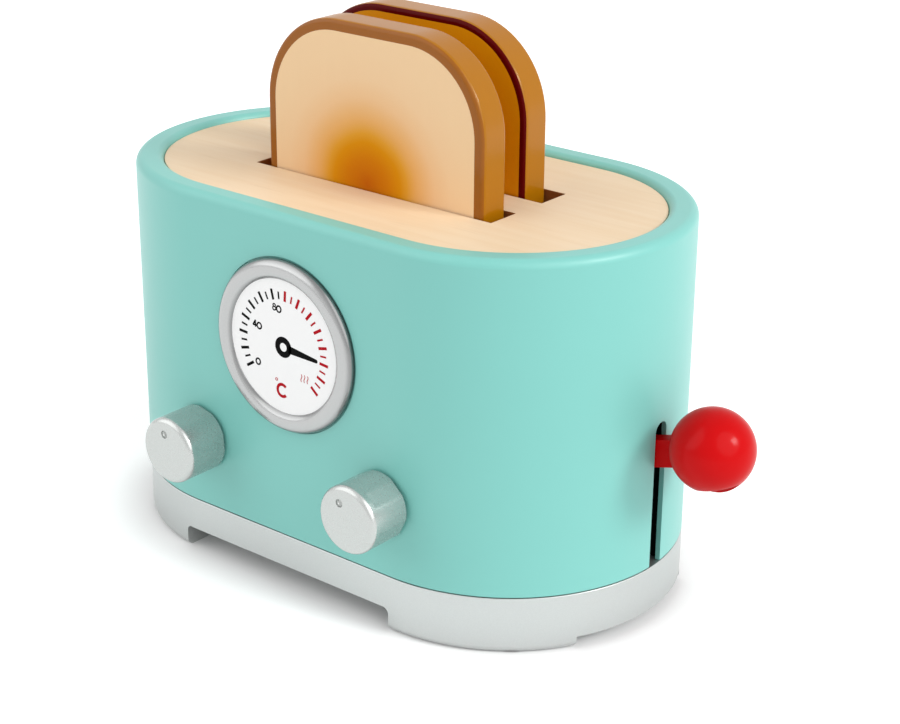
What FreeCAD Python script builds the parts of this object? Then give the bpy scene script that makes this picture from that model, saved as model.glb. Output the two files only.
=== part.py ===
"""Wooden toy toaster: a pressed lever lifts a carriage with two slices of toast.

The frame is +X towards the lever, -Y towards the dial, +Z up. The origin lies on the
resting plane under the middle of the body. All sizes are millimetres and degrees.
"""

import FreeCAD
import Part

import math
import os

import Sketcher

# Driving dimensions: alias, size.
SIZES = {
    # Body outline: two half rounds joined by straight sides.
    "half_straight": 40.0,
    "end_radius": 55.0,
    "wall_thick": 8.8,
    "base_height": 18.3,
    "body_top": 121.2,
    "rim_round_outer": 2.8,
    "rim_round_inner": 2.4,
    "seam_round": 0.5,
    # Base board: cut away under its edges, so that it stands on feet and on its middle.
    "foot_round": 2.5,
    "arch_left": -46.0,
    "arch_right": 39.0,
    "arch_height": 7.5,
    "arch_depth": 20.0,
    "arch_round": 2.0,
    "end_arch_half_width": 27.2,
    "end_arch_height": 3.75,
    "end_arch_depth": 12.0,
    # Top plate and its two bread slots.
    "plate_drop": 1.5,
    "plate_thick": 8.0,
    "glue_gap": 0.1,
    "slot_half_length": 46.4,
    "slot_middle": 12.2,
    "slot_width": 11.8,
    # Wood screws and the pillars under the top plate.
    "screw_radius": 1.75,
    "screw_head_radius": 3.5,
    "screw_sink": 9.0,
    "screw_length": 24.0,
    "screw_gap": 0.05,
    "sink_gap": 0.2,
    "pilot_spare": 1.0,
    "wall_screw_angle": 50.0,
    "pillar_across": 56.0,
    "pillar_back": 33.0,
    "pillar_radius": 7.0,
    # Dial.
    "dial_up": 81.1,
    "bezel_middle_radius": 24.1,
    "bezel_section_radius": 3.1,
    "dial_sink": 3.0,
    "dial_proud": 1.3,
    "dial_radius": 23.6,
    # Knobs.
    "knob_across": 36.6,
    "knob_up": 41.6,
    "knob_radius": 10.5,
    "knob_length": 14.8,
    "knob_cap": 3.0,
    "knob_flat_depth": 0.35,
    "knob_edge_round": 1.1,
    "knob_standoff": 0.8,
    "dimple_radius": 1.0,
    "dimple_out": 5.5,
    "dimple_depth": 1.0,
    "shaft_radius": 3.0,
    "shaft_bite": 9.0,
    "shaft_length": 26.6,
    "running_gap": 0.06,
    "washer_radius": 8.5,
    "washer_thick": 0.5,
    "clip_radius": 6.5,
    "clip_thick": 1.5,
    "clip_gap": 0.6,
    # Lever: a bar on a pin, with a ball outside and a nose under the carriage.
    "lever_back": 1.6,
    "pivot_across": 33.0,
    "pivot_up": 39.0,
    "lever_rise": 15.5,
    "ball_reach": 82.5,
    "ball_radius": 12.5,
    "ball_core_radius": 7.8,
    "ball_core_roof": 5.6,
    "ball_web": 2.4,
    "tongue_width": 5.0,
    "tongue_half_height": 4.85,
    "tongue_overlap": 4.0,
    "arm_half_height": 3.6,
    "nose_reach": 34.5,
    "nose_radius": 4.0,
    "hub_radius": 7.5,
    "hub_width": 6.0,
    "pin_radius": 2.5,
    "lever_slot_width": 5.8,
    "lever_slot_top": 64.8,
    "cheek_gap": 6.6,
    "cheek_thick": 9.0,
    "cheek_half_length": 9.0,
    "cheek_above_pin": 9.0,
    "buffer_radius": 6.0,
    "press_buffer_across": 75.0,
    "press_angle": 22.0,
    # Carriage: a platform on two guide rods.
    "rod_back": 28.0,
    "rod_radius": 3.0,
    "rod_foot": 8.0,
    "rod_head": 4.0,
    "platform_top": 84.0,
    "platform_thick": 6.0,
    "platform_half_length": 44.5,
    "platform_half_width": 35.0,
    "bush_radius": 5.5,
    "bush_length": 15.0,
    "bush_flange_radius": 6.6,
    "bush_flange_thick": 1.5,
    "rail_height": 6.0,
    "middle_rail_width": 12.8,
    "outer_rail_width": 3.0,
    "post_radius": 6.0,
    "contact_gap": 0.36,
    # Toast.
    "toast_width": 84.6,
    "toast_height": 85.6,
    "toast_thick": 10.8,
    "toast_shoulder": 28.0,
    "toast_foot_round": 6.0,
    "toast_edge_round": 1.5,
    "toast_front_across": 0.95,
    "toast_rear_across": -2.7,
}


class Size:
    """A length or an angle, held as a number and as the sheet formula that gives it."""

    def __init__(self, value, text):
        self.value = value
        self.text = text

    @staticmethod
    def of(other):
        return other if isinstance(other, Size) else Size(float(other), str(float(other)))

    def __add__(self, other):
        other = Size.of(other)
        return Size(self.value + other.value, f"({self.text} + {other.text})")

    def __sub__(self, other):
        other = Size.of(other)
        return Size(self.value - other.value, f"({self.text} - {other.text})")

    def __mul__(self, other):
        other = Size.of(other)
        return Size(self.value * other.value, f"({self.text} * {other.text})")

    def __truediv__(self, other):
        other = Size.of(other)
        return Size(self.value / other.value, f"({self.text} / {other.text})")

    def __neg__(self):
        return Size(-self.value, f"(-1 * {self.text})")

    def sine(self):
        return Size(math.sin(math.radians(self.value)), f"sin({self.text})")

    def cosine(self):
        return Size(math.cos(math.radians(self.value)), f"cos({self.text})")


ZERO = Size.of(0)
PAST = 1.0  # how far a cutting shape runs past the face it cuts

doc = FreeCAD.newDocument("ToyToaster")
sheet = doc.addObject("Spreadsheet::Sheet", "Sizes")
for row, (alias, number) in enumerate(SIZES.items(), start=1):
    sheet.set(f"A{row}", alias)
    sheet.set(f"B{row}", str(number))
    sheet.setAlias(f"B{row}", alias)
doc.recompute()


def size(alias):
    """The driving dimension of that name."""
    return Size(SIZES[alias], f"Sizes.{alias}")


# --- Helpers -----------------------------------------------------------------------------


def bind(item, sizes):
    """Bind properties of an object to size formulas."""
    for path, formula in sizes.items():
        item.setExpression(path, Size.of(formula).text)


def place(item, across=ZERO, back=ZERO, up=ZERO, rotation=FreeCAD.Rotation()):
    """Turn an object, then bind its place to three sizes."""
    item.Placement = FreeCAD.Placement(FreeCAD.Vector(), rotation)
    bind(item, {f"Placement.Base.{letter}": part for letter, part in zip("xyz", (across, back, up))})


nodes = []


def named(item, label):
    """Give a finished sub-part its node name."""
    item.Label = label
    nodes.append(item)
    return item


FORWARD = FreeCAD.Rotation(FreeCAD.Vector(1, 0, 0), 90)


def cylinder(name, radius, length, across, back, up, rotation=FreeCAD.Rotation()):
    """A cylinder that starts at the given place and runs up, or towards the dial if FORWARD."""
    item = doc.addObject("Part::Cylinder", name)
    place(item, across, back, up, rotation)
    bind(item, {"Radius": radius, "Height": length})
    return item


def block(name, low, high):
    """A box between two corners, each given as three sizes."""
    item = doc.addObject("Part::Box", name)
    place(item, *low)
    spans = [end - start for start, end in zip(low, high)]
    bind(item, dict(zip(("Length", "Width", "Height"), spans)))
    return item


def cut(name, base, *tools):
    """The base with every tool taken out of it."""
    for number, tool in enumerate(tools, start=1):
        step = doc.addObject("Part::Cut", f"{name}_{number}")
        step.Base = base
        step.Tool = tool
        base = step
    return base


def fuse(name, *shapes):
    """One solid, or one group of solids, made of all the shapes."""
    item = doc.addObject("Part::MultiFuse", name)
    item.Shapes = list(shapes)
    return item


def sketch_on(body, role, name, lift=ZERO):
    """A sketch on one of the body's own planes, lifted along the plane's normal."""
    plane = next(item for item in body.Origin.OriginFeatures if item.Role == role)
    sketch = body.newObject("Sketcher::SketchObject", name)
    sketch.AttachmentSupport = (plane, [""])
    sketch.MapMode = "FlatFace"
    bind(sketch, {"AttachmentOffset.Base.z": lift})
    return sketch


def dimension(sketch, kind, formula, *elements):
    """A sketch dimension bound to a size formula."""
    formula = Size.of(formula)
    index = sketch.addConstraint(Sketcher.Constraint(kind, *elements, formula.value))
    sketch.setExpression(f"Constraints[{index}]", formula.text)


def pin_point(sketch, geometry, end, across, up):
    """Hold a line's end (1 or 2) or a circle's centre (3) at a place in the sketch."""
    dimension(sketch, "DistanceX", across, -1, 1, geometry, end)
    dimension(sketch, "DistanceY", up, -1, 1, geometry, end)


def draw_circle(sketch, radius, across=ZERO, up=ZERO):
    """A circle fixed by its centre and radius."""
    centre = FreeCAD.Vector(Size.of(across).value, Size.of(up).value, 0)
    circle = sketch.addGeometry(Part.Circle(centre, FreeCAD.Vector(0, 0, 1), Size.of(radius).value))
    pin_point(sketch, circle, 3, across, up)
    dimension(sketch, "Radius", radius, circle)


def draw_outline(sketch, corners):
    """A closed outline of straight lines through the corners, each given as two sizes."""
    points = [FreeCAD.Vector(across.value, up.value, 0) for across, up in corners]
    lines = [
        sketch.addGeometry(Part.LineSegment(start, end))
        for start, end in zip(points, points[1:] + points[:1])
    ]
    for line, following in zip(lines, lines[1:] + lines[:1]):
        sketch.addConstraint(Sketcher.Constraint("Coincident", line, 2, following, 1))
    for line, corner in zip(lines, corners):
        pin_point(sketch, line, 1, *corner)


def draw_rectangle(sketch, left, right, bottom, top):
    """A rectangle between four sizes."""
    draw_outline(sketch, [(left, bottom), (right, bottom), (right, top), (left, top)])


def draw_stadium(sketch, straight, radius):
    """Two half rounds joined by straight sides, centred on the sketch's origin."""
    reach, round_off = straight.value, radius.value
    arcs = []
    for side in (1, -1):
        circle = Part.Circle(FreeCAD.Vector(side * reach, 0, 0), FreeCAD.Vector(0, 0, 1), round_off)
        start = -side * math.pi / 2
        arcs.append(sketch.addGeometry(Part.ArcOfCircle(circle, start, start + math.pi)))
        pin_point(sketch, arcs[-1], 3, straight if side > 0 else -straight, ZERO)
    right, left = arcs
    far = sketch.addGeometry(
        Part.LineSegment(FreeCAD.Vector(reach, round_off, 0), FreeCAD.Vector(-reach, round_off, 0))
    )
    near = sketch.addGeometry(
        Part.LineSegment(FreeCAD.Vector(-reach, -round_off, 0), FreeCAD.Vector(reach, -round_off, 0))
    )
    for first, second in ((right, far), (far, left), (left, near), (near, right)):
        sketch.addConstraint(Sketcher.Constraint("Tangent", first, 2, second, 1))
    sketch.addConstraint(Sketcher.Constraint("Equal", right, left))
    dimension(sketch, "Radius", radius, right)


def pad(body, sketch, length, side="One side", reverse=False):
    feature = body.newObject("PartDesign::Pad", f"{sketch.Name}_pad")
    feature.Profile = sketch
    feature.SideType = side
    feature.Reversed = reverse
    bind(feature, {"Length": length})
    return feature


def pocket(body, sketch, length, side="One side", reverse=False):
    feature = body.newObject("PartDesign::Pocket", f"{sketch.Name}_pocket")
    feature.Profile = sketch
    feature.SideType = side
    feature.Reversed = reverse
    bind(feature, {"Length": length})
    return feature


def round_edges(body, name, radius, chosen):
    """A fillet on the edges of the last feature for which chosen(centre, box) is true."""
    doc.recompute()
    base = body.Tip
    edges = [
        f"Edge{number}"
        for number, edge in enumerate(base.Shape.Edges, start=1)
        if chosen(edge.CenterOfMass, edge.BoundBox)
    ]
    feature = body.newObject("PartDesign::Fillet", name)
    feature.Base = (base, edges)
    bind(feature, {"Radius": radius})


def level(height):
    """A test for edges that lie flat at a height."""
    return lambda centre, box: box.ZLength < 0.01 and abs(centre.z - height.value) < 0.01


def new_body(label):
    return named(doc.addObject("PartDesign::Body", label), label)


# --- Base board, shell, top plate and pillars ---------------------------------------------

inner_radius = size("end_radius") - size("wall_thick")
plate_top = size("body_top") - size("plate_drop")
plate_under = plate_top - size("plate_thick")
wall_middle = size("end_radius") - size("wall_thick") / 2
wall_screw_across = size("half_straight") + wall_middle * size("wall_screw_angle").cosine()
wall_screw_back = wall_middle * size("wall_screw_angle").sine()
shank_start = size("screw_sink") - size("screw_head_radius")
pilot_depth = shank_start + size("screw_length") + size("pilot_spare") - size("base_height")
cheek_middle = size("cheek_gap") / 2 + size("cheek_thick") / 2
cheek_screw_offset = size("cheek_half_length") / 2

CORNERS = [(1, -1), (-1, -1), (1, 1), (-1, 1)]
wall_screws = [(wall_screw_across * side, wall_screw_back * way) for side, way in CORNERS]
pillar_screws = [(size("pillar_across") * side, size("pillar_back") * way) for side, way in CORNERS]
cheek_screws = [
    (size("pivot_across") + cheek_screw_offset * side, size("lever_back") + cheek_middle * way)
    for side, way in CORNERS
]
screw_places = wall_screws + pillar_screws + cheek_screws
rod_places = [(ZERO, -size("rod_back")), (ZERO, size("rod_back"))]


def make_base_board():
    body = new_body("base_board")
    outline = sketch_on(body, "XY_Plane", "base_outline")
    draw_stadium(outline, size("half_straight"), size("end_radius"))
    pad(body, outline, size("base_height"))
    round_edges(body, "base_seam", size("seam_round"), level(size("base_height")))
    round_edges(body, "base_foot", size("foot_round"), level(ZERO))

    for way in (-1, 1):
        side = "front" if way < 0 else "back"
        inside = size("end_radius") - size("arch_depth")
        arch = sketch_on(body, "XZ_Plane", f"arch_{side}", inside * -way)
        height = size("arch_height")
        draw_rectangle(arch, size("arch_left"), size("arch_right"), -height, height)
        pocket(body, arch, size("arch_depth"), reverse=way < 0)
    round_edges(
        body,
        "arch_corners",
        size("arch_round"),
        lambda centre, box: box.XLength < 0.01
        and box.ZLength < 0.01
        and abs(centre.z - SIZES["arch_height"]) < 0.01,
    )
    for side in (-1, 1):
        end = "right" if side > 0 else "left"
        inside = size("half_straight") + size("end_radius") - size("end_arch_depth")
        arch = sketch_on(body, "YZ_Plane", f"end_arch_{end}", inside * side)
        width, height = size("end_arch_half_width"), size("end_arch_height")
        draw_rectangle(arch, -width, width, -height, height)
        pocket(body, arch, size("end_arch_depth"), reverse=side > 0)

    sinks = sketch_on(body, "XY_Plane", "screw_sinks")
    shanks = sketch_on(body, "XY_Plane", "screw_shanks")
    for across, back in screw_places:
        draw_circle(sinks, size("screw_head_radius") + size("sink_gap"), across, back)
        draw_circle(shanks, size("screw_radius") + size("screw_gap"), across, back)
    pocket(body, sinks, size("screw_sink"), reverse=True)
    pocket(body, shanks, size("base_height"), reverse=True)

    sockets = sketch_on(body, "XY_Plane", "rod_sockets", size("base_height") - size("rod_foot"))
    for across, back in rod_places:
        draw_circle(sockets, size("rod_radius") + size("screw_gap"), across, back)
    pocket(body, sockets, size("rod_foot"), reverse=True)


def make_body_shell():
    body = new_body("body_shell")
    outline = sketch_on(body, "XY_Plane", "shell_outline", size("base_height"))
    draw_stadium(outline, size("half_straight"), size("end_radius"))
    draw_stadium(outline, size("half_straight"), inner_radius)
    pad(body, outline, size("body_top") - size("base_height"))

    def is_outer(box):
        return max(abs(box.YMin), abs(box.YMax)) > inner_radius.value + 1

    top, bottom = level(size("body_top")), level(size("base_height"))
    round_edges(body, "rim_outside", size("rim_round_outer"), lambda c, b: top(c, b) and is_outer(b))
    round_edges(
        body, "rim_inside", size("rim_round_inner"), lambda c, b: top(c, b) and not is_outer(b)
    )
    round_edges(body, "shell_seam", size("seam_round"), lambda c, b: bottom(c, b) and is_outer(b))

    slot = sketch_on(body, "YZ_Plane", "lever_slot")
    half = size("lever_slot_width") / 2
    shoulder = size("lever_slot_top") - half
    back = size("lever_back")
    draw_rectangle(slot, back - half, back + half, size("base_height") - PAST, shoulder)
    pocket(body, slot, size("half_straight") + size("end_radius"), reverse=True)
    slot_top = sketch_on(body, "YZ_Plane", "lever_slot_round")
    draw_circle(slot_top, half, back, shoulder)
    pocket(body, slot_top, size("half_straight") + size("end_radius"), reverse=True)

    recess_floor = size("end_radius") - size("dial_sink")
    recess = sketch_on(body, "XZ_Plane", "dial_recess", recess_floor)
    draw_circle(recess, size("dial_radius") + size("glue_gap"), ZERO, size("dial_up"))
    pocket(body, recess, size("dial_sink"), reverse=True)
    shaft_holes = sketch_on(body, "XZ_Plane", "shaft_holes")
    for side in (-1, 1):
        hole = size("shaft_radius") + size("running_gap")
        draw_circle(shaft_holes, hole, size("knob_across") * side, size("knob_up"))
    pocket(body, shaft_holes, size("end_radius"), reverse=True)

    pilots = sketch_on(body, "XY_Plane", "wall_pilots", size("base_height"))
    for across, back in wall_screws:
        draw_circle(pilots, size("screw_radius") + size("screw_gap"), across, back)
    pocket(body, pilots, pilot_depth, reverse=True)


def make_top_plate():
    body = new_body("top_plate")
    outline = sketch_on(body, "XY_Plane", "plate_outline", plate_under)
    draw_stadium(outline, size("half_straight"), inner_radius - size("glue_gap"))
    pad(body, outline, size("plate_thick"))
    slots = sketch_on(body, "XY_Plane", "bread_slots", plate_under)
    for way in (-1, 1):
        middle, half = size("slot_middle") * way, size("slot_width") / 2
        length = size("slot_half_length")
        draw_rectangle(slots, -length, length, middle - half, middle + half)
    pocket(body, slots, size("plate_thick"), reverse=True)
    sockets = sketch_on(body, "XY_Plane", "rod_heads", plate_under)
    for across, back in rod_places:
        draw_circle(sockets, size("rod_radius") + size("screw_gap"), across, back)
    pocket(body, sockets, size("rod_head"), reverse=True)


def make_pillars():
    """Four dowels that carry the top plate, each screwed on from below."""
    for (side, way), (across, back) in zip(CORNERS, pillar_screws):
        label = f"plate_pillar_{'front' if way < 0 else 'rear'}_{'right' if side > 0 else 'left'}"
        foot = size("base_height")
        length = plate_under - foot
        dowel = cylinder(f"{label}_dowel", size("pillar_radius"), length, across, back, foot)
        bore = size("screw_radius") + size("screw_gap")
        pilot = cylinder(f"{label}_pilot", bore, pilot_depth, across, back, foot)
        named(cut(label, dowel, pilot), label)


def make_wood_screws():
    """One group of like screws: four into the wall, four into the pillars, four into the cheeks."""
    pieces = []
    for number, (across, back) in enumerate(screw_places, start=1):
        head = doc.addObject("Part::Cone", f"screw_head_{number}")
        place(head, across, back, shank_start)
        wide, narrow = size("screw_head_radius"), size("screw_radius")
        bind(head, {"Radius1": wide, "Radius2": narrow, "Height": wide - narrow})
        length = size("screw_length")
        shank = cylinder(f"screw_shank_{number}", narrow, length, across, back, shank_start)
        pieces += [head, shank]
    named(fuse("wood_screws", *pieces), "wood_screws")


make_base_board()
make_body_shell()
make_top_plate()
make_pillars()
make_wood_screws()

# --- Dial ---------------------------------------------------------------------------------


def make_dial():
    """A printed disc let into the front wall, held by a half-round ring."""
    wall = -size("end_radius")
    thick = size("dial_sink") + size("dial_proud")
    back = wall + size("dial_sink")
    disc = cylinder("dial_disc", size("dial_radius"), thick, ZERO, back, size("dial_up"), FORWARD)
    named(disc, "dial_face")

    ring = doc.addObject("Part::Torus", "bezel_ring")
    place(ring, ZERO, wall, size("dial_up"), FORWARD)
    bind(ring, {"Radius1": size("bezel_middle_radius"), "Radius2": size("bezel_section_radius")})
    reach = size("bezel_middle_radius") + size("bezel_section_radius") + PAST
    deep, up = size("dial_sink") * 2, size("dial_up")
    wall_side = cylinder("bezel_back", reach, deep, ZERO, wall + deep, up, FORWARD)
    seat = size("dial_radius") + size("glue_gap")
    rebate = cylinder("bezel_rebate", seat, size("dial_proud"), ZERO, wall, up, FORWARD)
    named(cut("dial_bezel", ring, wall_side, rebate), "dial_bezel")


make_dial()

# --- Knobs --------------------------------------------------------------------------------


def make_knob(side_name, side, flat_angle, dimple_angle):
    """A knob with five flats, its shaft, the push-on clip inside and the felt washer outside."""
    across = size("knob_across") * side
    up = size("knob_up")
    wall = -size("end_radius")
    back = wall - size("knob_standoff")
    radius = size("knob_radius")

    knob = new_body(f"knob_{side_name}")
    outline = sketch_on(knob, "XY_Plane", f"knob_outline_{side_name}")
    draw_circle(outline, radius)
    pad(knob, outline, size("knob_length"))
    round_edges(knob, f"knob_edge_{side_name}", size("knob_edge_round"), level(size("knob_length")))
    flats = sketch_on(knob, "XY_Plane", f"knob_flats_{side_name}")
    draw_rectangle(flats, -radius * 2, radius * 2, -radius * 2, radius * 2)
    corner_angles = [Size.of(36 + 72 * number) for number in range(5)]
    reach = (radius - size("knob_flat_depth")) / corner_angles[0].cosine()
    draw_outline(flats, [(reach * angle.sine(), reach * angle.cosine()) for angle in corner_angles])
    pocket(knob, flats, size("knob_length") - size("knob_cap"), reverse=True)
    bore = sketch_on(knob, "XY_Plane", f"knob_bore_{side_name}")
    draw_circle(bore, size("shaft_radius") + size("screw_gap"))
    pocket(knob, bore, size("shaft_bite"), reverse=True)
    floor = size("knob_length") - size("dimple_depth")
    dimple = sketch_on(knob, "XY_Plane", f"knob_dimple_{side_name}", floor)
    turn, out = Size.of(dimple_angle - flat_angle), size("dimple_out")
    draw_circle(dimple, size("dimple_radius"), out * turn.sine(), out * turn.cosine())
    pocket(knob, dimple, size("dimple_depth"), reverse=True)
    turned = FreeCAD.Rotation(FreeCAD.Vector(0, 1, 0), flat_angle).multiply(FORWARD)
    place(knob, across, back, up, turned)

    start = back - size("shaft_bite") + size("shaft_length")
    length = size("shaft_length")
    shaft = cylinder(f"shaft_{side_name}", size("shaft_radius"), length, across, start, up, FORWARD)
    named(shaft, f"knob_shaft_{side_name}")

    def ring(label, radius, bore, thick, back):
        disc = cylinder(f"{label}_disc", radius, thick, across, back, up, FORWARD)
        hole = cylinder(f"{label}_hole", bore, thick, across, back, up, FORWARD)
        named(cut(label, disc, hole), label)

    inside = wall + size("wall_thick") + size("clip_gap") + size("clip_thick")
    grip = size("shaft_radius") + size("screw_gap")
    ring(f"knob_clip_{side_name}", size("clip_radius"), grip, size("clip_thick"), inside)
    loose = size("shaft_radius") + size("running_gap")
    ring(f"knob_washer_{side_name}", size("washer_radius"), loose, size("washer_thick"), wall)


make_knob("left", -1, flat_angle=14.0, dimple_angle=-8.8)
make_knob("right", 1, flat_angle=43.0, dimple_angle=-24.8)

# --- Lever --------------------------------------------------------------------------------

nose_centre_up = size("pivot_up") - size("nose_reach") * size("lever_rise").sine()
nose_centre_across = size("pivot_across") - size("nose_reach") * size("lever_rise").cosine()


def tilt_on_pivot(item):
    """Put a lever piece, drawn along +X from the pivot, at its resting slope."""
    slope = FreeCAD.Rotation(FreeCAD.Vector(0, 1, 0), SIZES["lever_rise"])
    place(item, size("pivot_across"), size("lever_back"), size("pivot_up"), slope)
    bind(item, {"Placement.Rotation.Angle": -size("lever_rise")})


def make_lever_bar():
    """The flat bar: tongue, hub, inner arm and nose in one moulding."""
    bar = new_body("lever_bar")
    tongue = sketch_on(bar, "XZ_Plane", "tongue")
    tall = size("tongue_half_height")
    draw_rectangle(tongue, ZERO, size("ball_reach") + size("tongue_overlap"), -tall, tall)
    pad(bar, tongue, size("tongue_width"), side="Symmetric")
    arm = sketch_on(bar, "XZ_Plane", "arm")
    low = size("arm_half_height")
    draw_rectangle(arm, -size("nose_reach"), ZERO, -low, low)
    pad(bar, arm, size("tongue_width"), side="Symmetric")
    nose = sketch_on(bar, "XZ_Plane", "nose")
    draw_circle(nose, size("nose_radius"), -size("nose_reach"), ZERO)
    pad(bar, nose, size("tongue_width"), side="Symmetric")
    hub = sketch_on(bar, "XZ_Plane", "hub")
    draw_circle(hub, size("hub_radius"))
    pad(bar, hub, size("hub_width"), side="Symmetric")
    bore = sketch_on(bar, "XZ_Plane", "pivot_bore")
    draw_circle(bore, size("pin_radius") + size("running_gap"))
    pocket(bar, bore, size("hub_width") * 2, side="Symmetric")
    return bar


def make_lever_ball():
    """The ball pushed on the tongue's end, cored out from below on both sides of a web."""
    sphere = doc.addObject("Part::Sphere", "ball_sphere")
    place(sphere, size("ball_reach"))
    bind(sphere, {"Radius": size("ball_radius")})
    wide = size("tongue_width") / 2 + size("screw_gap")
    tall = size("tongue_half_height") + size("screw_gap")
    low = (size("ball_reach") - size("ball_radius") * 2, -wide, -tall)
    high = (size("ball_reach") + size("tongue_overlap") + size("screw_gap"), wide, tall)
    slot = block("ball_slot", low, high)
    bottom = -size("ball_radius") - PAST
    deep = -size("ball_core_roof") - bottom
    core = cylinder("ball_core", size("ball_core_radius"), deep, size("ball_reach"), ZERO, bottom)
    reach, half_web = size("ball_core_radius") + PAST, size("ball_web") / 2
    low = (size("ball_reach") - reach, -half_web, bottom - PAST)
    high = (size("ball_reach") + reach, half_web, ZERO)
    hollow = cut("ball_hollow", core, block("ball_web", low, high))
    return named(cut("lever_ball", sphere, slot, hollow), "lever_ball")


def make_pivot():
    """Two wooden cheeks on the base board with the pin through them."""
    bottom, up = size("base_height"), size("pivot_up")
    top = up + size("cheek_above_pin")
    left = size("pivot_across") - size("cheek_half_length")
    right = size("pivot_across") + size("cheek_half_length")
    for way in (-1, 1):
        label = f"pivot_cheek_{'front' if way < 0 else 'rear'}"
        near, far = size("cheek_gap") / 2, size("cheek_gap") / 2 + size("cheek_thick")
        faces = [size("lever_back") + near * way, size("lever_back") + far * way]
        low, high = sorted(faces, key=lambda face: face.value)
        board = block(f"{label}_board", (left, low, bottom), (right, high, top))
        wide = size("pin_radius") + size("screw_gap")
        thick = size("cheek_thick")
        bore = cylinder(f"{label}_bore", wide, thick, size("pivot_across"), high, up, FORWARD)
        narrow = size("screw_radius") + size("screw_gap")
        pilots = [
            cylinder(f"{label}_pilot_{number}", narrow, pilot_depth, across, back, bottom)
            for number, (across, back) in enumerate(cheek_screws)
            if low.value < back.value < high.value
        ]
        named(cut(label, board, bore, *pilots), label)
    length = size("cheek_gap") + size("cheek_thick") * 2
    start = size("lever_back") + length / 2
    pin = cylinder("pin", size("pin_radius"), length, size("pivot_across"), start, up, FORWARD)
    named(pin, "pivot_pin")


def make_buffers():
    """Rubber buffers that stop the lever: under the nose at rest, under the tongue when pressed."""
    bottom, back, radius = size("base_height"), size("lever_back"), size("buffer_radius")
    height = nose_centre_up - size("nose_radius") - size("contact_gap") - bottom
    rest = cylinder("buffer_rest", radius, height, nose_centre_across, back, bottom)
    named(rest, "rest_buffer")
    slope = size("press_angle") - size("lever_rise")
    reach = size("press_buffer_across") + size("buffer_radius") - size("pivot_across")
    fall = reach * slope.sine() / slope.cosine() + size("tongue_half_height") / slope.cosine()
    height = size("pivot_up") - fall - size("contact_gap") - bottom
    across = size("press_buffer_across")
    press = cylinder("buffer_press", radius, height, across, back, bottom)
    named(press, "press_buffer")


tilt_on_pivot(make_lever_bar())
tilt_on_pivot(make_lever_ball())
make_pivot()
make_buffers()

# --- Carriage -----------------------------------------------------------------------------


def make_guide_rods():
    for label, (across, back) in zip(("guide_rod_front", "guide_rod_rear"), rod_places):
        foot = size("base_height") - size("rod_foot")
        length = plate_under + size("rod_head") - foot
        named(cylinder(f"{label}_dowel", size("rod_radius"), length, across, back, foot), label)


def make_carriage():
    """The platform with its bushes, rails and push post."""
    top = size("platform_top")
    under = top - size("platform_thick")
    long, wide = size("platform_half_length"), size("platform_half_width")
    board = block("platform_board", (-long, -wide, under), (long, wide, top))
    bush_hole = size("bush_radius") + size("screw_gap")
    holes = [
        cylinder(f"platform_hole_{number}", bush_hole, size("platform_thick"), across, back, under)
        for number, (across, back) in enumerate(rod_places)
    ]
    post_hole = cylinder(
        "platform_post_hole",
        size("post_radius") + size("screw_gap"),
        size("platform_thick"),
        nose_centre_across,
        size("lever_back"),
        under,
    )
    named(cut("lift_platform", board, *holes, post_hole), "lift_platform")

    for label, (across, back) in zip(("guide_bush_front", "guide_bush_rear"), rod_places):
        start = top - size("bush_length")
        sleeve = cylinder(f"{label}_sleeve", size("bush_radius"), size("bush_length"), across, back, start)
        flange = cylinder(
            f"{label}_flange", size("bush_flange_radius"), size("bush_flange_thick"), across, back, top
        )
        length = size("bush_length") + size("bush_flange_thick")
        running = size("rod_radius") + size("running_gap")
        bore = cylinder(f"{label}_bore", running, length, across, back, start)
        named(cut(label, fuse(f"{label}_body", sleeve, flange), bore), label)

    half = size("middle_rail_width") / 2
    outer_low = size("slot_middle") * 2 - half
    outer_high = outer_low + size("outer_rail_width")
    rail_top = top + size("rail_height")
    for label, low, high in (
        ("toast_rail_front", -outer_high, -outer_low),
        ("toast_rail_middle", -half, half),
        ("toast_rail_rear", outer_low, outer_high),
    ):
        named(block(f"{label}_strip", (-long, low, top), (long, high, rail_top)), label)

    post_bottom = nose_centre_up + size("nose_radius") + size("contact_gap")
    dome_centre = post_bottom + size("post_radius")
    back = size("lever_back")
    shaft = cylinder(
        "post_shaft", size("post_radius"), top - dome_centre, nose_centre_across, back, dome_centre
    )
    dome = doc.addObject("Part::Sphere", "post_dome")
    place(dome, nose_centre_across, back, dome_centre)
    bind(dome, {"Radius": size("post_radius")})
    named(fuse("push_post", shaft, dome), "push_post")


make_guide_rods()
make_carriage()

# --- Toast --------------------------------------------------------------------------------


def make_toast(side_name, across, back):
    """A slice with round shoulders and softened edges, standing on the carriage."""
    toast = new_body(f"toast_{side_name}")
    outline = sketch_on(toast, "XZ_Plane", f"toast_outline_{side_name}")
    half = size("toast_width") / 2
    draw_rectangle(outline, -half, half, ZERO, size("toast_height"))
    pad(toast, outline, size("toast_thick"), side="Symmetric")

    def corner(is_top):
        def chosen(centre, box):
            return box.YLength > 1 and box.ZLength < 0.01 and (centre.z > half.value) == is_top
        return chosen

    round_edges(toast, f"toast_shoulders_{side_name}", size("toast_shoulder"), corner(True))
    round_edges(toast, f"toast_feet_{side_name}", size("toast_foot_round"), corner(False))
    face = size("toast_thick").value / 2

    def on_faces(centre, box):
        return box.YLength < 0.01 and abs(abs(centre.y) - face) < 0.01

    round_edges(toast, f"toast_edges_{side_name}", size("toast_edge_round"), on_faces)
    place(toast, across, back, size("platform_top"))


make_toast("front", size("toast_front_across"), -size("slot_middle"))
make_toast("rear", size("toast_rear_across"), size("slot_middle"))

# --- Check and export ---------------------------------------------------------------------

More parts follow.
